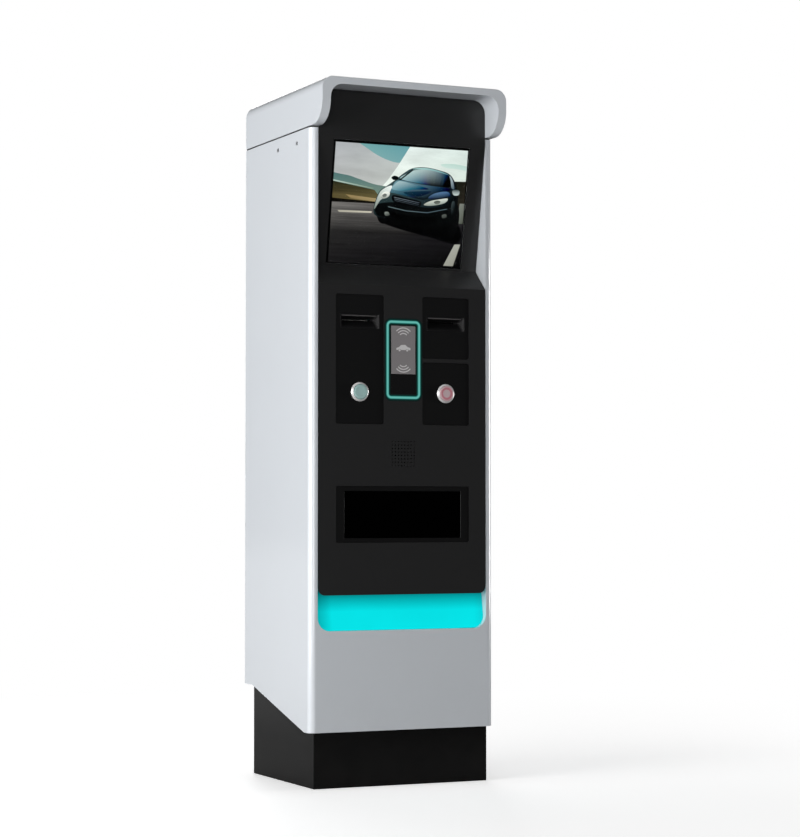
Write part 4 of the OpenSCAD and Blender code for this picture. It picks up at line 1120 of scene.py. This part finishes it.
class PAYSTATION_OT_reader(Operator):
    """Card reader window, its lit ring and the painted light the ring spills round itself"""

    bl_idname = "pay_station.reader"
    bl_label = "Card reader"

    def execute(self, context):
        low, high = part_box("reader_ring_light")
        # The ring's own light; a darker teal that is painted shade on its rounded sides; and fading
        # teal that is painted light spilling onto the fascia and the window.
        core, edge, painted_spill = settings().lights.teal, (0.0, 0.17, 0.14), (0.0, 0.05, 0.04)
        dim_painted_light, dimmer_painted_light, dark = (0.0, 0.014, 0.011), (0.0, 0.012, 0.009), (0.0, 0.0, 0.0)
        face = FASCIA_FRONT_MM
        window, behind = face + 0.4, face + 4
        # The ring's section in millimetres: inset from its outside, depth, and light given off,
        # which is painted shade on the ring's sides and painted light where it spills onto the
        # fascia and the window.
        rows = [(-4.5, face - 0.06, dark), (-1.6, face - 0.08, dim_painted_light), (0.0, face - 0.1, painted_spill)]
        rows += [(0.2, face - 0.5, edge), (1.9, face - 0.78, core), (4.0, face - 0.78, core)]
        rows += [(5.8, face - 0.5, edge), (6.2, window - 0.06, painted_spill), (7.8, window - 0.06,
            dimmer_painted_light)]
        rows += [(10.0, window - 0.06, dark), (10.0, window - 0.02, dark), (6.3, window - 0.02,
            dark)]
        rows += [(6.0, behind, dark), (0.1, behind, dark), (0.0, face - 0.02, dark)]
        rows += [(-4.5, face - 0.02, dark)]
        centre, half_z = (low.z + high.z) / 2, (high.z - low.z) / 2
        work = bmesh.new()
        ink = work.verts.layers.float_color.new("ink")
        loops = []
        for inset, depth, tint in rows:
            points = ring_loop(inset * MM, centre, high.x, half_z, RING_CORNER)
            loop = [work.verts.new((x, depth * MM, z)) for x, z in points]
            for vert in loop:
                vert[ink] = (*tint, 1)
            loops.append(loop)
        for first, second in zip(loops, loops[1:] + loops[:1]):
            join_loops(work, first, second)
        bmesh.ops.recalc_face_normals(work, faces=work.faces)
        mesh = mesh_from(work, "reader_ring_glow")
        ring = mesh_object("reader_ring_glow", mesh, "cabinet", "teal_light")
        shade(ring, 50)
        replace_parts(ring, "reader_ring_light")
        rounded("reader_window", "reader_window_face", 0.0003, 1)
        return {"FINISHED"}


class PAYSTATION_OT_message_display(Operator):
    """Message display: frame, smoked window and its dots"""

    bl_idname = "pay_station.message_display"
    bl_label = "Message display"

    def execute(self, context):
        rounded_set(
            ("led_frame", "display_frame", 0.0006, 2),
            ("led_window", "display_window", 0.0004, 1),
        )
        low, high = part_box("led_board")
        centre = Vector(((low.x + high.x) / 2, low.y, (low.z + high.z) / 2))
        pitch = settings().details.dot_pitch
        size = {"Columns": 60, "Rows": 20, "Pitch": pitch, "Radius": pitch * 0.3}
        grow("display_dots", dot_tree(), [centre], size, "cabinet", "led_strip")
        return {"FINISHED"}


class PAYSTATION_OT_light_bar(Operator):
    """Sloping lit bar under the fascia"""

    bl_idname = "pay_station.light_bar"
    bl_label = "Light bar"

    def execute(self, context):
        rounded("light_bar_diffuser", "light_bar_cover", 0.0012, 2)
        return {"FINISHED"}


class PAYSTATION_OT_door(Operator):
    """Rear service door, hinges, lock and fan guard"""

    bl_idname = "pay_station.door"
    bl_label = "Rear door"

    def execute(self, context):
        edge = settings().details.sheet_edge
        rounded_set(
            ("rear_door", "service_door", edge, 2),
            ("hinge_door_leaves", "hinge_leaves_on_door", 0.0003, 1),
            ("hinge_frame_leaves", "hinge_leaves_on_frame", 0.0003, 1),
            ("lock_body", "lock_escutcheon", 0.0004, 2),
            ("lock_cam", "lock_tongue", 0.0003, 1),
            ("fan_frame", "fan_housing", 0.0006, 1),
        )
        low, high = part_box("fan_frame")
        wire = 0.0008
        guard = Vector(((low.x + high.x) / 2, low.y - wire, (low.z + high.z) / 2))
        size = {"Rings": 5, "Step": 0.0076, "Wire": wire}
        grow("fan_guard", ring_tree(), [guard], size, "rear_door", "zinc_steel")
        return {"FINISHED"}


# The hinges: their line across, each one's foot, and its screws above that foot.
HINGE_X_MM = 179
HINGE_FEET_MM = (330, 720, 1110)
HINGE_SCREWS_MM = (12, 32, 48, 68)
HINGE_SCREW_OFFSET_MM = 13
LEAF_FACE = 0.178 + 0.0024 + 0.0006
FAN_HEIGHT = 1.2
FAN_HOLE = 0.0355


class PAYSTATION_OT_fixings(Operator):
    """Screw heads on the hinges, the fan and the equipment plate"""

    bl_idname = "pay_station.fixings"
    bl_label = "Fixings"

    def execute(self, context):
        radius = settings().details.screw_radius
        tree = screw_tree()
        outward = Matrix.Rotation(math.radians(-90), 3, "X").to_euler()
        inward = Matrix.Rotation(math.radians(90), 3, "X").to_euler()

        def screws(name, body, points, size, height, turn):
            values = {"Radius": size, "Height": height, "Turn": turn}
            grow(name, tree, points, values, body, "zinc_steel")

        rows = [("hinge_screws_on_door", "rear_door", -1), ("hinge_screws_on_frame", "cabinet", 1)]
        for name, body, side in rows:
            x = (HINGE_X_MM + side * HINGE_SCREW_OFFSET_MM) * MM
            heights = [foot * MM + up * MM for foot in HINGE_FEET_MM for up in HINGE_SCREWS_MM]
            screws(name, body, [(x, LEAF_FACE, z) for z in heights], radius, 0.0014, outward)
        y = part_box("fan_frame")[0].y - 0.0006
        fan = [(x, y, FAN_HEIGHT + z) for x in (-FAN_HOLE, FAN_HOLE) for z in (-FAN_HOLE, FAN_HOLE)]
        screws("fan_screws", "rear_door", fan, radius, 0.0014, inward)
        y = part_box("equipment_plate")[0].y + TRAY_SHEET
        plate = [(x, y + 0.0008, z) for x in (-0.185, 0.185) for z in (0.22, 0.36, 0.5, 0.625)]
        screws("plate_screws", "cabinet", plate, radius * 1.2, 0.0018, outward)
        low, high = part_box("terminal_block")
        y = high.y - 0.006
        ends = [(low.x + 0.00485 + i * 0.01, y, z) for i in range(8) for z in (0.286, 0.322)]
        screws("terminal_screws", "cabinet", ends, 0.0022, 0.0014, outward)
        return {"FINISHED"}


BOARD_HEIGHT = 0.0116


class PAYSTATION_OT_interior(Operator):
    """Small chips on the controller board"""

    bl_idname = "pay_station.interior"
    bl_label = "Interior"

    def execute(self, context):
        low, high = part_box("controller_board")
        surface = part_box("equipment_plate")[0].y + TRAY_SHEET + BOARD_HEIGHT
        centre = Vector(((low.x + high.x) / 2, surface, (low.z + high.z) / 2 + 0.03))
        size = {"Columns": 13, "Rows": 11, "Pitch": 0.0105, "Seed": settings().details.chip_seed}
        grow("board_chips", chip_tree(), [centre], size, "cabinet", "switch_black")
        return {"FINISHED"}


def lamp(name, place, target, size, energy):
    """A rectangular softbox that faces its target."""
    data = bpy.data.lights.new(name, "AREA")
    data.shape, data.size, data.size_y = "RECTANGLE", *size
    data.energy = energy
    made = bpy.data.objects.new(name, data)
    made.location = place
    made.rotation_euler = (Vector(target) - Vector(place)).to_track_quat("-Z", "Y").to_euler()
    bpy.context.scene.collection.objects.link(made)


# The floor: its light near the object, where it turns white, and the light it throws back.
FLOOR_GLOW = 0.44
FLOOR_TURNS_WHITE = (0.5, 2.4)
FLOOR_BOUNCE = (-0.8, 0.6, 0.4, 0.04)
WHITE = (1, 1, 1, 1)


def floor_finish(tint):
    """A pale floor that runs into white a few steps from the object."""
    material, tree, shader = new_material("studio_floor")
    seen = add(tree, "ShaderNodeLightPath").outputs["Is Camera Ray"]
    inputs = {"Roughness": 0.6, "Specular IOR Level": 0.15, "Emission Color": WHITE}
    inputs["Base Color"] = blend(tree, seen, (0.4, 0.4, 0.4, 1), (*tint, 1))
    inputs["Emission Strength"] = times(tree, seen, FLOOR_GLOW)
    feed(tree, shader, inputs)
    place = object_place(tree)
    away = add(tree, "ShaderNodeVectorMath", {0: place}, operation="LENGTH").outputs["Value"]
    near, far = FLOOR_TURNS_WHITE
    inputs = {0: away, 1: near, 2: far}
    ramp = add(tree, "ShaderNodeMapRange", inputs, interpolation_type="SMOOTHSTEP").outputs[0]
    bounce = span(tree, axes_of(tree, place)["X"], *FLOOR_BOUNCE)
    inputs = {"Color": WHITE, "Strength": maths(tree, "MAXIMUM", seen, bounce)}
    lit = add(tree, "ShaderNodeEmission", inputs).outputs[0]
    mixed = add(tree, "ShaderNodeMixShader", {0: ramp, 1: shader.outputs[0], 2: lit})
    feed(tree, tree.nodes["Material Output"], {"Surface": mixed.outputs[0]})
    return material


# Softboxes: name, place, target, and width with height.
SOFTBOXES = [
    ("key", (-3.45, -0.72, 1.0), (0, 0, 0.8), (2.6, 1.9)),
    ("front", (-2.5, -5.2, 1.2), (0, 0, 0.8), (2.7, 2.4)),
    ("right", (3.2, -0.3, 0.8), (0, 0, 0.5), (1.3, 1.2)),
    ("rear", (0.8, 3.6, 1.5), (0, 0, 0.8), (2.0, 2.0)),
    ("top", (0.0, -0.3, 3.6), (0, 0, 0), (3.0, 3.0)),
]
CAMERA_PLACE = (-2.0325, -4.5425, 0.5543)
CAMERA_YAW = math.radians(24.895)
CAMERA_PITCH = math.radians(2.228)
CAMERA_LENS_MM = 101.97
SENSOR_WIDTH_MM = 36


class PAYSTATION_OT_stage(Operator):
    """Pale floor, softboxes, surroundings and camera"""

    bl_idname = "pay_station.stage"
    bl_label = "Stage"

    def execute(self, context):
        stage, scene = settings().stage, context.scene
        bpy.ops.mesh.primitive_plane_add(size=60, location=(0, 0, -0.0002))
        floor = context.active_object
        floor.name = "studio_floor"
        floor.data.materials.append(floor_finish(stage.floor))

        for name, *placing in SOFTBOXES:
            lamp(name + "_softbox", *placing, getattr(stage, name + "_power"))

        world = bpy.data.worlds.new("studio_air")
        world.use_nodes = True
        tree = world.node_tree
        seen = add(tree, "ShaderNodeLightPath").outputs["Is Camera Ray"]
        strength = span(tree, seen, 0.0, 1.0, stage.fill, 1.0)
        feed(tree, tree.nodes["Background"], {"Color": WHITE, "Strength": strength})
        scene.world = world
        scene.view_settings.view_transform = "Standard"
        scene.view_settings.look = "None"

        level = math.cos(CAMERA_PITCH)
        ahead = (math.sin(CAMERA_YAW) * level, math.cos(CAMERA_YAW) * level, math.sin(CAMERA_PITCH))
        ahead = Vector(ahead)
        right = ahead.cross(Vector((0, 0, 1))).normalized()
        facing = Matrix((right, right.cross(ahead), -ahead)).transposed().to_4x4()
        data = bpy.data.cameras.new("catalogue_camera")
        data.lens, data.sensor_width = CAMERA_LENS_MM, SENSOR_WIDTH_MM
        camera = bpy.data.objects.new("catalogue_camera", data)
        camera.matrix_world = Matrix.Translation(CAMERA_PLACE) @ facing
        scene.collection.objects.link(camera)
        scene.camera = camera
        return {"FINISHED"}


STEPS = (
    PAYSTATION_OT_finishes,
    PAYSTATION_OT_cabinet,
    PAYSTATION_OT_canopy,
    PAYSTATION_OT_fascia,
    PAYSTATION_OT_screen,
    PAYSTATION_OT_buttons,
    PAYSTATION_OT_reader,
    PAYSTATION_OT_message_display,
    PAYSTATION_OT_light_bar,
    PAYSTATION_OT_door,
    PAYSTATION_OT_fixings,
    PAYSTATION_OT_interior,
    PAYSTATION_OT_stage,
)


class PAYSTATION_PT_sidebar(Panel):
    """Lists the steps and the settings"""

    bl_idname = "PAYSTATION_PT_sidebar"
    bl_label = "Pay Station"
    bl_space_type = "VIEW_3D"
    bl_region_type = "UI"
    bl_category = "Pay Station"

    def draw(self, context):
        station = context.scene.pay_station
        for title in ("Paint", "Lights", "Details", "Stage"):
            group = getattr(station, title.lower())
            box = self.layout.box()
            box.label(text=title)
            for name in group.bl_rna.properties.keys():
                if name not in ("rna_type", "name"):
                    box.prop(group, name)
        for step in STEPS:
            self.layout.operator(step.bl_idname)


CLASSES = (PaintSettings, LightSettings, DetailSettings, StageSettings, StationSettings, *STEPS,
    PAYSTATION_PT_sidebar)


def register():
    for made in CLASSES:
        bpy.utils.register_class(made)
    bpy.types.Scene.pay_station = PointerProperty(type=StationSettings)


def unregister():
    del bpy.types.Scene.pay_station
    for made in reversed(CLASSES):
        bpy.utils.unregister_class(made)


def main():
    register()
    for step in STEPS:
        area, name = step.bl_idname.split(".")
        getattr(getattr(bpy.ops, area), name)()


if __name__ == "__main__":
    main()
